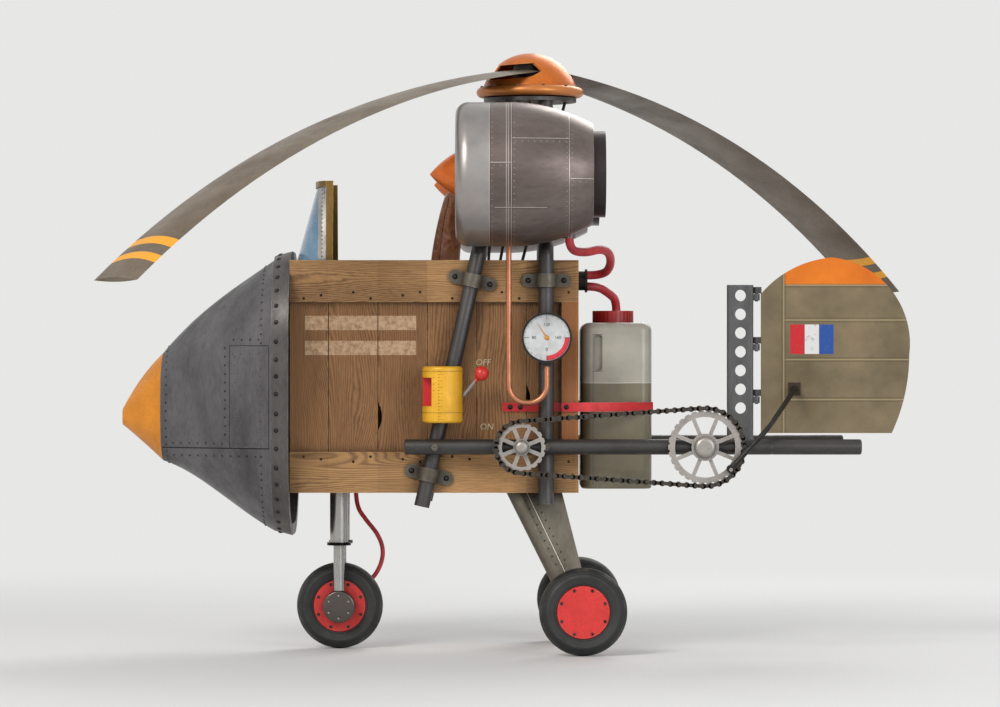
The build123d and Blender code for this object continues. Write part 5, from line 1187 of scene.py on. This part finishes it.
def moved(tree, part, x=0.0, y=0.0, z=0.0, turn=(0, 0, 0), size=None):
    place = add(tree, "ShaderNodeCombineXYZ", {0: x, 1: y, 2: z}).outputs[0]
    inputs = {"Geometry": part, "Translation": place, "Rotation": turn}
    if size:
        inputs["Scale"] = add(tree, "ShaderNodeCombineXYZ", dict(enumerate(size))).outputs[0]
    return add(tree, "GeometryNodeTransform", inputs).outputs[0]


half_pitch = math_of(chain_tree, "MULTIPLY", chain_in["Pitch"], 0.5)
eye_r = math_of(chain_tree, "MULTIPLY", chain_in["Link Height"], 0.5)
waist = math_of(chain_tree, "MULTIPLY", chain_in["Link Height"], 0.62)
eye_disc = add(chain_tree, "GeometryNodeMeshCylinder",
               {"Vertices": 12, "Radius": eye_r, "Depth": chain_in["Plate"]})
eye_disc = moved(chain_tree, eye_disc.outputs[0], turn=(math.pi / 2, 0, 0))
bar_size = add(chain_tree, "ShaderNodeCombineXYZ", {0: chain_in["Pitch"], 1: chain_in["Plate"], 2: waist})
bar = add(chain_tree, "GeometryNodeMeshCube", {"Size": bar_size.outputs[0]}).outputs[0]
plate = joined(chain_tree, bar, moved(chain_tree, eye_disc, half_pitch),
               moved(chain_tree, eye_disc, math_of(chain_tree, "MULTIPLY", half_pitch, -1)))
inner_back = math_of(chain_tree, "MULTIPLY", chain_in["Inner Plate"], -1)
outer_back = math_of(chain_tree, "MULTIPLY", chain_in["Outer Plate"], -1)
inner_link = joined(chain_tree, moved(chain_tree, plate, y=chain_in["Inner Plate"]),
                    moved(chain_tree, plate, y=inner_back))
outer_link = joined(chain_tree, moved(chain_tree, plate, y=chain_in["Outer Plate"]),
                    moved(chain_tree, plate, y=outer_back))
roller_width = math_of(chain_tree, "MULTIPLY", chain_in["Inner Plate"], 1.75)
pin_width = math_of(chain_tree, "MULTIPLY", chain_in["Outer Plate"], 2.22)
roller = add(chain_tree, "GeometryNodeMeshCylinder", {"Vertices": 10, "Radius": chain_in["Roller Radius"],
                                                      "Depth": roller_width}).outputs[0]
pin = add(chain_tree, "GeometryNodeMeshCylinder", {"Vertices": 8, "Radius": chain_in["Pin Radius"],
                                                   "Depth": pin_width}).outputs[0]
roller_set = moved(chain_tree, joined(chain_tree, roller, pin), turn=(math.pi / 2, 0, 0))
run = add(chain_tree, "GeometryNodeInputNamedAttribute", {"Name": "run"}, data_type="FLOAT_VECTOR").outputs[0]
turn = add(chain_tree, "FunctionNodeAlignRotationToVector", {"Vector": run}, axis="X",
           pivot_axis="Y").outputs[0]
kinds = []
for label, shape in (("inner", inner_link), ("outer", outer_link), ("roller", roller_set)):
    picked = add(chain_tree, "GeometryNodeInputNamedAttribute", {"Name": label}, data_type="BOOLEAN").outputs[0]
    kinds.append(add(chain_tree, "GeometryNodeInstanceOnPoints",
                     {"Points": chain_in["Geometry"], "Selection": picked,
                      "Instance": shape, "Rotation": turn}).outputs[0])
links = add(chain_tree, "GeometryNodeRealizeInstances", {0: joined(chain_tree, *kinds)}).outputs[0]
links = add(chain_tree, "GeometryNodeSetMaterial", {0: links, "Material": chain_in["Finish"]}).outputs[0]
put(chain_tree, chain_tree.nodes.new("NodeGroupOutput").inputs[0], links)

chain_points, chain_runs, chain_kinds = [], [], []
for index in range(CHAIN_LINKS):
    before = Vector(chain_place(index * CHAIN_PITCH))
    after = Vector(chain_place((index + 1) * CHAIN_PITCH))
    middle = (before + after) / 2
    chain_points += [(middle.x, CHAIN_Y, middle.y), (before.x, CHAIN_Y, before.y)]
    chain_runs += [(after.x - before.x, 0, after.y - before.y), (1, 0, 0)]
    chain_kinds += ["outer" if index % 2 else "inner", "roller"]
chain_start = bpy.data.meshes.new("chain_links")
chain_start.from_pydata(chain_points, [], [])
run_ways = chain_start.attributes.new("run", "FLOAT_VECTOR", "POINT")
run_ways.data.foreach_set("vector", [value for way in chain_runs for value in way])
for label in ("inner", "outer", "roller"):
    flags = chain_start.attributes.new(label, "BOOLEAN", "POINT")
    flags.data.foreach_set("value", [kind == label for kind in chain_kinds])
chain_piece = grown("chain_links", chain_tree, chain_start, {
    "Pitch": CHAIN_PITCH, "Link Height": LINK_HEIGHT, "Plate": LINK_PLATE, "Inner Plate": INNER_PLATE_Y,
    "Outer Plate": OUTER_PLATE_Y, "Roller Radius": ROLLER_R, "Pin Radius": PIN_R, "Finish": chain_steel})
fix(chain_piece, BODY, "chain_steel", "chain")

# Fuel tank: a blow-moulded can of clouded plastic, the fuel showing dark through its lower part, with
# a moulded grip, a ribbed red cap and a painted strap screwed to the crate.
FUEL_Z = 1.060
TANK_EDGE_X = AXIS_X + 0.2475
GRIP = (AXIS_X + 0.2475, AXIS_X + 0.2850, 1.108, 1.253)
STRAP_Z = (0.950, 0.986)
STRAP_SCREWS = (
    # x, distance of the strap's outer face from the middle
    (AXIS_X - 0.080, 0.3112),
    (AXIS_X - 0.040, 0.3112),
    (AXIS_X + 0.140, 0.3350),
)

can, can_tree, can_shader = new_material("clouded_plastic", 0.30, 0.0,
                                         **{"Coat Weight": 0.25, "Subsurface Weight": 0.15,
                                            "Subsurface Scale": 0.02})
x, y, z = coordinates(can_tree)
place = add(can_tree, "ShaderNodeTexCoord").outputs["Object"]
cloud = spread(can_tree, noise(can_tree, place, 6.0, 4.0), 0.3, 0.7)
empty_part = mixed(can_tree, cloud, srgb(176, 172, 158), srgb(150, 146, 134))
full_part = mixed(can_tree, cloud, srgb(128, 120, 98), srgb(104, 97, 78))
level = math_of(can_tree, "ADD", z, math_of(can_tree, "MULTIPLY", math_of(can_tree, "SUBTRACT", cloud, 0.5),
                                            0.002))
can_colour = mixed(can_tree, spread(can_tree, level, FUEL_Z + 0.0015, FUEL_Z - 0.0015), empty_part, full_part)
meniscus = band(can_tree, level, FUEL_Z + 0.0015, FUEL_Z + 0.0045)
can_colour = mixed(can_tree, math_of(can_tree, "MULTIPLY", meniscus, 0.5), can_colour, srgb(206, 202, 188))
on_side = math_of(can_tree, "GREATER_THAN", math_of(can_tree, "ABSOLUTE", y), 0.19)
mould = math_of(can_tree, "MULTIPLY", band(can_tree, x, TANK_EDGE_X - 0.0012, TANK_EDGE_X + 0.0012),
                band(can_tree, z, 0.66, GRIP[3]))
for height in GRIP[2:]:
    bar = math_of(can_tree, "MULTIPLY", band(can_tree, x, GRIP[0], GRIP[1]),
                  band(can_tree, z, height - 0.0012, height + 0.0012))
    mould = math_of(can_tree, "MAXIMUM", mould, bar)
mould = math_of(can_tree, "MULTIPLY", mould, on_side)
# The moulded edges are drawn as dark lines, painted shade along them
can_colour = mixed(can_tree, math_of(can_tree, "MULTIPLY", mould, 0.85), can_colour, srgb(62, 54, 44))
can_wear_and_shade = use_group(can_tree, wear_and_shade_group, Edge=0.006, Scale=20.0, Reach=0.05)
# Corners of the can darken with grime and painted shade
can_colour = mixed(can_tree, math_of(can_tree, "MULTIPLY", can_wear_and_shade["Grime_and_shade"], 0.5), can_colour,
                   srgb(70, 64, 52))
can_tree.links.new(can_colour, can_shader.inputs["Base Color"])
give_relief(can_tree, can_shader, noise(can_tree, place, 9.0, 3.0), 0.25, 0.004)
dressed("fuel_tank", can, "tank_plastic", 40)
cap_red = metal("cap_red", (200, 44, 44), (140, 24, 26), (232, 120, 116), 0.34, 0.0, 14.0, 0.5, edge_wear=0.5,
                relief=0.1)[0]
dressed("tank_cap", cap_red, "red_plastic", 30)
strap_red = metal("strap_red", (206, 44, 48), (150, 26, 30), (176, 150, 140), 0.40, 0.2, 18.0, 0.6,
                  edge_wear=0.8)[0]
dressed("red_straps", strap_red, "red_paint", 30)
strap_screws, screw_slots = [], []
for side in (-1, 1):
    for number, (x, out) in enumerate(STRAP_SCREWS):
        place = Vector((x, side * out, sum(STRAP_Z) / 2))
        strap_screws.append((place, (0, side, 0)))
        lean = math.radians(35 + 20 * number)
        screw_slots.append((place + Vector((0, side * 0.0042, 0)), (0, side, 0),
                            (math.cos(lean), 0, math.sin(lean))))
fasteners("strap_screws", round_heads, strap_screws, 0.0105, 0.0042, rivet_steel, "clamp_iron")
stitches("strap_screw_slots", screw_slots, 0.0200, 0.0036, seam_dark, "clamp_iron")

# Valve and its lever: a yellow cast body clamped round the leaning post, with a red sight window, rows
# of painted marks and a red ball on the lever. ON and OFF are painted on the planks beside it.
VALVE = (AXIS_X - 0.344, -0.4223)
VALVE_WINDOW = (AXIS_X - 0.3855, 0.9735, 1.0845)
VALVE_SEAMS = (0.948, 1.109)
LEVER_STALK_X = AXIS_X - 0.2175
DOT_COLUMN_X = AXIS_X - 0.357
DOT_LOW_Z = 0.922
DOT_PITCH = 0.0125
DOT_ROWS = 16
WORDS = (("OFF", AXIS_X - 0.187, 1.1425), ("ON", AXIS_X - 0.173, 0.890))
WORD_HEIGHT = 0.034

valve_yellow, valve_tree, valve_shader, valve_base = metal(
    "valve_yellow", (238, 180, 44), (196, 138, 28), (128, 104, 60), 0.40, 0.1, 12.0, 0.6, edge_wear=0.7,
    relief=0.15)
x, y, z = coordinates(valve_tree)
sight = math_of(valve_tree, "MULTIPLY", math_of(valve_tree, "LESS_THAN", x, VALVE_WINDOW[0]),
                band(valve_tree, z, *VALVE_WINDOW[1:]))
sight = math_of(valve_tree, "MULTIPLY", sight, math_of(valve_tree, "LESS_THAN", y, VALVE[1] + 0.0105))
valve_colour = mixed(valve_tree, sight, valve_base, srgb(206, 46, 44))
for height in VALVE_SEAMS:
    cut = band(valve_tree, z, height - 0.0010, height + 0.0010)
    valve_colour = mixed(valve_tree, math_of(valve_tree, "MULTIPLY", cut, 0.85), valve_colour, srgb(88, 62, 22))
valve_tree.links.new(valve_colour, valve_shader.inputs["Base Color"])
valve_piece = dressed("valve_body", valve_yellow, "yellow_paint", 30)
lever_red, lever_tree, lever_shader, lever_base = metal(
    "lever_red", (214, 52, 48), (150, 28, 28), (236, 130, 120), 0.26, 0.0, 16.0, 0.4, edge_wear=0.3,
    relief=0.05)
x, y, z = coordinates(lever_tree)
stalk = math_of(lever_tree, "LESS_THAN", x, LEVER_STALK_X)
lever_colour = mixed(lever_tree, stalk, lever_base, srgb(120, 118, 116))
lever_tree.links.new(lever_colour, lever_shader.inputs["Base Color"])
dressed("valve_lever", lever_red, "red_plastic", 40)
valve_skin = surface_of(valve_piece)
ink = metal("painted_mark", (58, 44, 26), (34, 26, 16), (96, 80, 50), 0.6, 0.0, 60.0, 0.4)[0]
dots, dashes = [], []
for index in range(DOT_ROWS):
    z = DOT_LOW_Z + index * DOT_PITCH
    dots.append(from_side(valve_skin, DOT_COLUMN_X, z, -1))
    if index % 2 == 0:
        place, facing = from_side(valve_skin, DOT_COLUMN_X + 0.010, z, -1)
        dashes.append((place, facing, (1, 0, 0)))
    if 8 < index < 15 and index % 2:
        dots.append(from_side(valve_skin, DOT_COLUMN_X - 0.020, z, -1))
fasteners("valve_dots", round_heads, dots, 0.0021, 0.0005, ink, "yellow_paint")
stitches("valve_dashes", dashes, 0.0085, 0.0014, ink, "yellow_paint")
cream = metal("cream_paint", (214, 198, 164), (170, 150, 116), (130, 100, 70), 0.6, 0.0, 40.0, 0.6)[0]


def painted_word(name, words, height, place, turn, material, slot, body=BODY, slant=0.0, depth=0.0006):
    # Letters as a thin mesh, with the words' middle at the place
    letters = bpy.data.curves.new(name, "FONT")
    letters.body = words
    letters.size = height
    letters.shear = slant
    letters.extrude = depth
    letters.align_x = "CENTER"
    letters.align_y = "CENTER"
    letters.resolution_u = 3
    letter_object = link_piece(f"{name}_outline", letters)
    bpy.context.view_layer.update()
    mesh = bpy.data.meshes.new_from_object(letter_object.evaluated_get(bpy.context.evaluated_depsgraph_get()))
    bpy.data.objects.remove(letter_object)
    mesh.transform(Matrix.Translation(Vector(place)) @ turn.to_4x4())
    mesh.materials.clear()
    mesh.materials.append(material)
    return fix(link_piece(name, mesh), body, slot)


facing_left = Matrix.Rotation(math.radians(90), 3, "X")
for words, x, z in WORDS:
    painted_word(f"word_{words.lower()}", words, WORD_HEIGHT, (x, -PLANK_FACE - 0.0006, z), facing_left, cream,
                 "plank_wood", slant=0.15)

# Gauge: a round pressure dial in a black case on the upright post, with printed figures, a red arc and
# an orange needle. A bent copper pipe feeds it from the left pod.
GAUGE = (AXIS_X + 0.062, 1.240)
DIAL_Y = -0.4402
DIAL_R = 0.0898
ARC = (0.0700, 0.0885)
FIGURES = (("0", 0, -0.047, 0.020), ("80", -0.050, 0.0, 0.0165), ("120", 0.0, 0.050, 0.0165),
           ("160", 0.043, 0.0, 0.0165))

case_black = metal("case_black", (40, 38, 38), (22, 21, 21), (110, 106, 102), 0.32, 0.4, 12.0, 0.4,
                   edge_wear=0.5)[0]
dressed("gauge", case_black, "black_paint", 30)
dial_white, dial_tree, dial_shader = new_material("dial_enamel", 0.22, 0.0,
                                                  **{"Coat Weight": 0.6, "Coat Roughness": 0.08})
place = add(dial_tree, "ShaderNodeTexCoord").outputs["Object"]
x, y, z = coordinates(dial_tree)
aged = spread(dial_tree, noise(dial_tree, place, 28.0, 5.0), 0.35, 0.75)
enamel = mixed(dial_tree, aged, srgb(206, 208, 208), srgb(176, 178, 176))
shade_top = spread(dial_tree, z, GAUGE[1] + 0.03, GAUGE[1] + 0.09)
enamel = mixed(dial_tree, math_of(dial_tree, "MULTIPLY", shade_top, 0.55), enamel, srgb(120, 124, 126))
dial_tree.links.new(enamel, dial_shader.inputs["Base Color"])
arc_red = metal("arc_red", (222, 58, 70), (196, 40, 54), (236, 130, 130), 0.4, 0.0, 30.0, 0.4, edge_wear=0.0)[0]
print_black = metal("print_black", (30, 30, 32), (20, 20, 20), (60, 60, 60), 0.5, 0.0, 60.0, 0.3,
                    edge_wear=0.0)[0]
needle_orange = metal("needle_orange", (222, 146, 52), (150, 70, 40), (240, 200, 140), 0.35, 0.2, 30.0, 0.5,
                      edge_wear=0.3)[0]


def dial_shape(name, outline, lift, thick, material, slot):
    # A flat shape given in the dial's plane, as a thin plate in front of it
    count = len(outline)
    front = [(GAUGE[0] + a, DIAL_Y - lift - thick, GAUGE[1] + b) for a, b in outline]
    back = [(GAUGE[0] + a, DIAL_Y - lift, GAUGE[1] + b) for a, b in outline]
    walls = [(i, (i + 1) % count, (i + 1) % count + count, i + count) for i in range(count)]
    mesh = bpy.data.meshes.new(name)
    mesh.from_pydata(front + back, [], [tuple(range(count)),
                                        tuple(range(2 * count - 1, count - 1, -1))] + walls)
    work = bmesh.new()
    work.from_mesh(mesh)
    bmesh.ops.triangulate(work, faces=[face for face in work.faces if len(face.verts) > 4])
    bmesh.ops.recalc_face_normals(work, faces=work.faces)
    work.to_mesh(mesh)
    work.free()
    mesh.materials.append(material)
    return fix(link_piece(name, mesh), BODY, slot)


def ring_arc(inner, outer, start, end, steps):
    angles = [math.radians(start + (end - start) * index / steps) for index in range(steps + 1)]
    return ([(outer * math.cos(a), outer * math.sin(a)) for a in angles]
            + [(inner * math.cos(a), inner * math.sin(a)) for a in reversed(angles)])


dial_edge = [(DIAL_R * math.cos(2 * math.pi * i / 64),
              DIAL_R * math.sin(2 * math.pi * i / 64)) for i in range(64)]
dial_shape("gauge_dial", dial_edge, 0.0, 0.0006, dial_white, "black_paint")
dial_shape("gauge_arc", ring_arc(*ARC, -90, 0, 24), 0.0006, 0.0003, arc_red, "red_paint")
for number, angle in enumerate(range(0, 360, 15)):
    long_mark = angle % 90 == 0
    inner = 0.068 if long_mark else 0.080
    wide = 0.9 if long_mark else 0.45
    mark = ring_arc(inner, 0.0875, angle - wide * 0.7, angle + wide * 0.7, 1)
    dial_shape(f"gauge_mark_{number}", mark, 0.0010, 0.0003, print_black, "black_paint")
for words, across, up, height in FIGURES:
    painted_word(f"gauge_figure_{words}", words, height, (GAUGE[0] + across, DIAL_Y - 0.0010, GAUGE[1] + up),
                 facing_left, print_black, "black_paint", depth=0.0003)
needle_way = Vector((-0.55, 0.835)).normalized()
needle_side = Vector((needle_way.y, -needle_way.x))
needle = [needle_way * 0.070, needle_side * 0.0036 - needle_way * 0.012,
          needle_side * -0.0036 - needle_way * 0.012]
dial_shape("gauge_needle", [tuple(point) for point in needle], 0.0022, 0.0007, needle_orange, "orange_paint")
fasteners("gauge_hub", round_heads, [((GAUGE[0], DIAL_Y - 0.0026, GAUGE[1]), (0, -1, 0))], 0.0095, 0.0030,
          needle_orange, "orange_paint")
copper = metal("copper_tube", (202, 136, 102), (150, 92, 66), (232, 182, 150), 0.30, 0.7, 14.0, 0.5,
               edge_wear=0.3, relief=0.08)[0]
dressed("copper_pipe", copper, "copper", 40)
dressed("control_rods", rod_black, "black_paint", 40)
dressed("hose_gland", rod_black, "black_paint", 40)

# Hoses: red rubber. Two carry fuel from the left pod through a gland to the tank's cap, and a thin brake
# line drops from the crate's floor to the nose wheel.
HOSES = (
    # node, radius, length, points of the route that part.py draws
    ("fuel_hose_upper", 0.017, 0.495, ((0.150, -0.440, 1.626), (0.150, -0.440, 1.580), (0.215, -0.405, 1.570),
                                       (0.275, -0.360, 1.588), (0.312, -0.290, 1.572), (0.318, -0.215, 1.524),
                                       (0.290, -0.144, 1.488), (0.2263, -0.144, 1.488))),
    ("fuel_hose_lower", 0.017, 0.217, ((0.2263, -0.134, 1.444), (0.268, -0.134, 1.444), (0.312, -0.092, 1.418),
                                       (0.344, -0.032, 1.392), (0.344, -0.032, 1.3483))),
    ("brake_hose", 0.009, 0.496, ((-0.700, 0.112, 0.6317), (-0.700, 0.112, 0.566), (-0.660, 0.112, 0.508),
                                  (-0.612, 0.110, 0.452), (-0.588, 0.108, 0.388), (-0.600, 0.104, 0.322),
                                  (-0.640, 0.098, 0.262), (-0.7087, 0.094, 0.2151))),
)

hose_red, hose_tree, hose_shader = new_material("hose_rubber", 0.42, 0.0, **{"Sheen Weight": 0.15})
place = add(hose_tree, "ShaderNodeTexCoord").outputs["Object"]
hose_blotch = spread(hose_tree, noise(hose_tree, place, 18.0, 5.0, 0.6), 0.35, 0.7)
braid = add(hose_tree, "ShaderNodeTexWave", {"Vector": place, "Scale": 90.0, "Distortion": 1.5},
            bands_direction="DIAGONAL")
hose_colour = mixed(hose_tree, hose_blotch, srgb(204, 48, 54), srgb(152, 30, 38))
hose_colour = mixed(hose_tree, math_of(hose_tree, "MULTIPLY", braid.outputs["Fac"], 0.15), hose_colour,
                    srgb(92, 16, 22))
hose_tree.links.new(hose_colour, hose_shader.inputs["Base Color"])
give_relief(hose_tree, hose_shader, braid.outputs["Fac"], 0.25, 0.0006)
for name, radius, length, route in HOSES:
    line = bpy.data.curves.new(f"{name}_run", "CURVE")
    line.dimensions = "3D"
    line.resolution_u = 12
    line.bevel_depth = radius
    line.bevel_resolution = 6
    spline = line.splines.new("NURBS")
    spline.points.add(len(route) - 1)
    for point, (x, y, z) in zip(spline.points, route):
        point.co = (AXIS_X + x, y, z, 1)
    spline.order_u = 3
    spline.use_endpoint_u = True
    line.materials.append(hose_red)
    hose = link_piece(f"{name}_run", line)
    fix(hose, BODY, "red_rubber", name)
    start = route[0]

# Seat: foam pads under brown leather. The side bands meet the panels in piped seams with a row of
# stitches on each side, and the back and the cushion have three sewn channels.
SEAT_VOXEL = 0.006
SEAT_SHRINK = 0.010
SEAT_CAP = 0.024
PIPING_R = 0.0036
CHANNEL_Y = (-0.075, 0.0, 0.075)
CHANNEL_DEPTH = 0.0065
CHANNEL_WIDTH = 0.006
SEAT_STITCH = 0.0090
SEAM_BACK = 0.016
SIDE_STEPS = 40
PIPING_STEPS = 24

leather, leather_tree, leather_shader = new_material(
    "seat_leather", 0.42, 0.0, **{"Coat Weight": 0.15, "Coat Roughness": 0.35})
place = add(leather_tree, "ShaderNodeTexCoord").outputs["Object"]
patina = spread(leather_tree, noise(leather_tree, place, 7.0, 6.0, 0.62), 0.32, 0.72)
creases = add(leather_tree, "ShaderNodeTexVoronoi", {"Vector": place, "Scale": 260.0},
              feature="DISTANCE_TO_EDGE")
pebble = spread(leather_tree, creases.outputs["Distance"], 0.0, 0.25)
hide = mixed(leather_tree, patina, srgb(178, 114, 74), srgb(138, 84, 54))
furrows = math_of(leather_tree, "MULTIPLY", math_of(leather_tree, "SUBTRACT", 1.0, pebble), 0.35)
hide = mixed(leather_tree, furrows, hide, srgb(84, 46, 28))
leather_wear_and_shade = use_group(leather_tree, wear_and_shade_group, Edge=0.010, Scale=24.0, Reach=0.08)
hide = mixed(leather_tree, math_of(leather_tree, "MULTIPLY", leather_wear_and_shade["Wear"], 0.4), hide,
             srgb(186, 130, 88))
# Corners of the seat darken with grime and painted shade
hide = mixed(leather_tree, math_of(leather_tree, "MULTIPLY", leather_wear_and_shade["Grime_and_shade"], 0.6), hide,
             srgb(52, 28, 16))
leather_tree.links.new(hide, leather_shader.inputs["Base Color"])
leather_tree.links.new(spread(leather_tree, patina, 0.0, 1.0, 0.34, 0.52), leather_shader.inputs["Roughness"])
give_relief(leather_tree, leather_shader, pebble, 0.22, 0.0005)
piping_hide = metal("piping_leather", (150, 92, 60), (108, 62, 40), (190, 136, 96), 0.4, 0.0, 30.0, 0.5,
                    edge_wear=0.5, relief=0.15)[0]
thread_pale = metal("thread_pale", (214, 184, 140), (168, 134, 92), (230, 210, 176), 0.7, 0.0, 80.0, 0.4,
                    edge_wear=0.2)[0]


def pad_of(node, cap, pressure=4.0):
    # The solid's shape, a little smaller, is blown up as cloth, and no point moves by more than the cap
    mesh = frame["nodes"][node].data.copy()
    low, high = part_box(node)
    middle, size = (low + high) / 2, high - low
    work = bmesh.new()
    work.from_mesh(mesh)
    bmesh.ops.remove_doubles(work, verts=work.verts, dist=1e-5)
    for vertex in work.verts:
        for axis in range(3):
            share = 1 - 2 * SEAT_SHRINK / size[axis]
            vertex.co[axis] = middle[axis] + (vertex.co[axis] - middle[axis]) * share
    work.to_mesh(mesh)
    work.free()
    pad = link_piece(f"{node}_pad", mesh)
    for made in bpy.context.selected_objects:
        made.select_set(False)
    bpy.context.view_layer.objects.active = pad
    pad.select_set(True)
    remesh = pad.modifiers.new("even_skin", "REMESH")
    remesh.mode = "VOXEL"
    remesh.voxel_size = SEAT_VOXEL
    bpy.ops.object.modifier_apply(modifier=remesh.name)
    before = [vertex.co.copy() for vertex in pad.data.vertices]
    cloth = pad.modifiers.new("stuffing", "CLOTH")
    cloth.settings.use_pressure = True
    cloth.settings.uniform_pressure_force = pressure
    cloth.settings.effector_weights.gravity = 0
    cloth.point_cache.frame_start = 1
    cloth.point_cache.frame_end = 20
    for step in range(1, 21):
        bpy.context.scene.frame_set(step)
    evaluated = pad.evaluated_get(bpy.context.evaluated_depsgraph_get())
    swollen = [vertex.co.copy() for vertex in evaluated.data.vertices]
    pad.modifiers.remove(cloth)
    bpy.context.scene.frame_set(1)
    for vertex, start, end in zip(pad.data.vertices, before, swollen):
        move = end - start
        vertex.co = start + (move * (cap / move.length) if move.length > cap else move)
    softened = pad.modifiers.new("softened", "SMOOTH")
    softened.factor = 0.5
    softened.iterations = 3
    bpy.ops.object.modifier_apply(modifier=softened.name)
    finer = pad.modifiers.new("finer", "SUBSURF")
    finer.levels = finer.render_levels = 1
    bpy.ops.object.modifier_apply(modifier=finer.name)
    for polygon in pad.data.polygons:
        polygon.use_smooth = True
    pad.data.materials.clear()
    pad.data.materials.append(leather)
    # What the swelling carried past the solid comes back inside it
    for axis in range(3):
        along = [vertex.co[axis] for vertex in pad.data.vertices]
        near, far = min(along), max(along)
        share = (high[axis] - low[axis]) / (far - near)
        for vertex in pad.data.vertices:
            vertex.co[axis] = low[axis] + (vertex.co[axis] - near) * share
    return pad


def press_channels(pad, facing, rows, along):
    # Sewn channels sink into the face that looks the way given. The ways that the skin faces are read
    # first, because each move of a point makes them stale.
    leaning = [vertex.normal.dot(facing) for vertex in pad.data.vertices]
    for vertex, lean in zip(pad.data.vertices, leaning):
        if lean < 0.5 or not along[0] < vertex.co[along[2]] < along[1]:
            continue
        sink = max(math.exp(-((vertex.co.y - row) / CHANNEL_WIDTH) ** 2) for row in rows)
        end = min(vertex.co[along[2]] - along[0], along[1] - vertex.co[along[2]]) / 0.02
        vertex.co -= facing * CHANNEL_DEPTH * sink * min(1.0, end)


def seam_line(surface, points, lift=0.0):
    # The points' nearest places on a pad, with the ways that its skin faces there
    line = []
    for point in points:
        place, normal, _, _ = surface.find_nearest(Vector(point))
        line.append((place + normal * lift, normal))
    return line


def piping(name, line, closed=True):
    run = bpy.data.curves.new(f"{name}_run", "CURVE")
    run.dimensions = "3D"
    run.bevel_depth = PIPING_R
    run.bevel_resolution = 3
    spline = run.splines.new("NURBS")
    spline.points.add(len(line) - 1)
    for point, (place, _) in zip(spline.points, line):
        point.co = (*place, 1)
    spline.order_u = 4
    spline.use_cyclic_u = closed
    spline.resolution_u = 2
    run_piece = link_piece(f"{name}_run", run)
    bpy.context.view_layer.update()
    mesh = bpy.data.meshes.new_from_object(run_piece.evaluated_get(bpy.context.evaluated_depsgraph_get()))
    bpy.data.objects.remove(run_piece)
    mesh.materials.clear()
    mesh.materials.append(piping_hide)
    for polygon in mesh.polygons:
        polygon.use_smooth = True
    return fix(link_piece(name, mesh), BODY, "seat_leather")


def sewn_beside(line, out, pitch=SEAT_STITCH * 1.6):
    # Stitches beside a seam, out to one side of it across the skin
    spots, gone = [], 0.0
    for (place, normal), (ahead, _) in zip(line, line[1:]):
        run = ahead - place
        if run.length < 1e-6:
            continue
        while gone < run.length:
            spots.append((place + run.normalized() * gone, normal, run.normalized()))
            gone += pitch
        gone -= run.length
    return [(place + normal.cross(run) * out + normal * 0.0004, normal, run) for place, normal, run in spots]


seat_stitches = []
for node in ("seat_back", "seat_cushion"):
    low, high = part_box(node)
    pad = pad_of(node, SEAT_CAP)
    if node == "seat_back":
        press_channels(pad, Vector((-1, 0, 0)), CHANNEL_Y, (low.z + 0.06, high.z - 0.05, 2))
    else:
        press_channels(pad, Vector((0, 0, 1)), CHANNEL_Y, (low.x + 0.04, high.x - 0.09, 0))
    fix(pad, BODY, "seat_leather", node)
    skin = surface_of(pad)
    half = high.y - 0.008
    if node == "seat_back":
        # The seam runs up close behind the front edge of each side, over the top and down again
        side_run = []
        for index in range(SIDE_STEPS + 1):
            z = low.z + 0.02 + (high.z - low.z - 0.05) * index / SIDE_STEPS
            front = skin.ray_cast(Vector((low.x - 1, half - 0.035, z)), Vector((1, 0, 0)))[0]
            side_run.append((front.x + SEAM_BACK, z))
        up = [(x, -half, z) for x, z in side_run]
        top_x, top_z = side_run[-1][0], high.z
        over = [(top_x, -half + 2 * half * index / PIPING_STEPS, top_z) for index in range(2, PIPING_STEPS - 1)]
        down = [(x, half, z) for x, z in reversed(side_run)]
        under = [(side_run[0][0], half - 2 * half * index / PIPING_STEPS, side_run[0][1])
                 for index in range(1, PIPING_STEPS)]
        loop = seam_line(skin, up + over + down + under)
        piping("seat_back_piping", loop)
        seat_stitches += sewn_beside(loop, 0.011) + sewn_beside(loop, -0.011)
    else:
        for label, z in (("upper", high.z - 0.010), ("lower", low.z + 0.012)):
            inset = 0.008
            x0, x1, y1 = low.x + inset, high.x - inset, high.y - inset
            steps = range(PIPING_STEPS)
            ring = ([(x0 + (x1 - x0) * step / PIPING_STEPS, -y1, z) for step in steps]
                    + [(x1, -y1 + 2 * y1 * step / PIPING_STEPS, z) for step in steps]
                    + [(x1 - (x1 - x0) * step / PIPING_STEPS, y1, z) for step in steps]
                    + [(x0, y1 - 2 * y1 * step / PIPING_STEPS, z) for step in steps])
            loop = seam_line(skin, ring)
            piping(f"seat_cushion_piping_{label}", loop)
            if label == "upper":
                seat_stitches += sewn_beside(loop, 0.010) + sewn_beside(loop, -0.010)
stitches("seat_stitches", seat_stitches, SEAT_STITCH, 0.0017, thread_pale, "seat_leather")
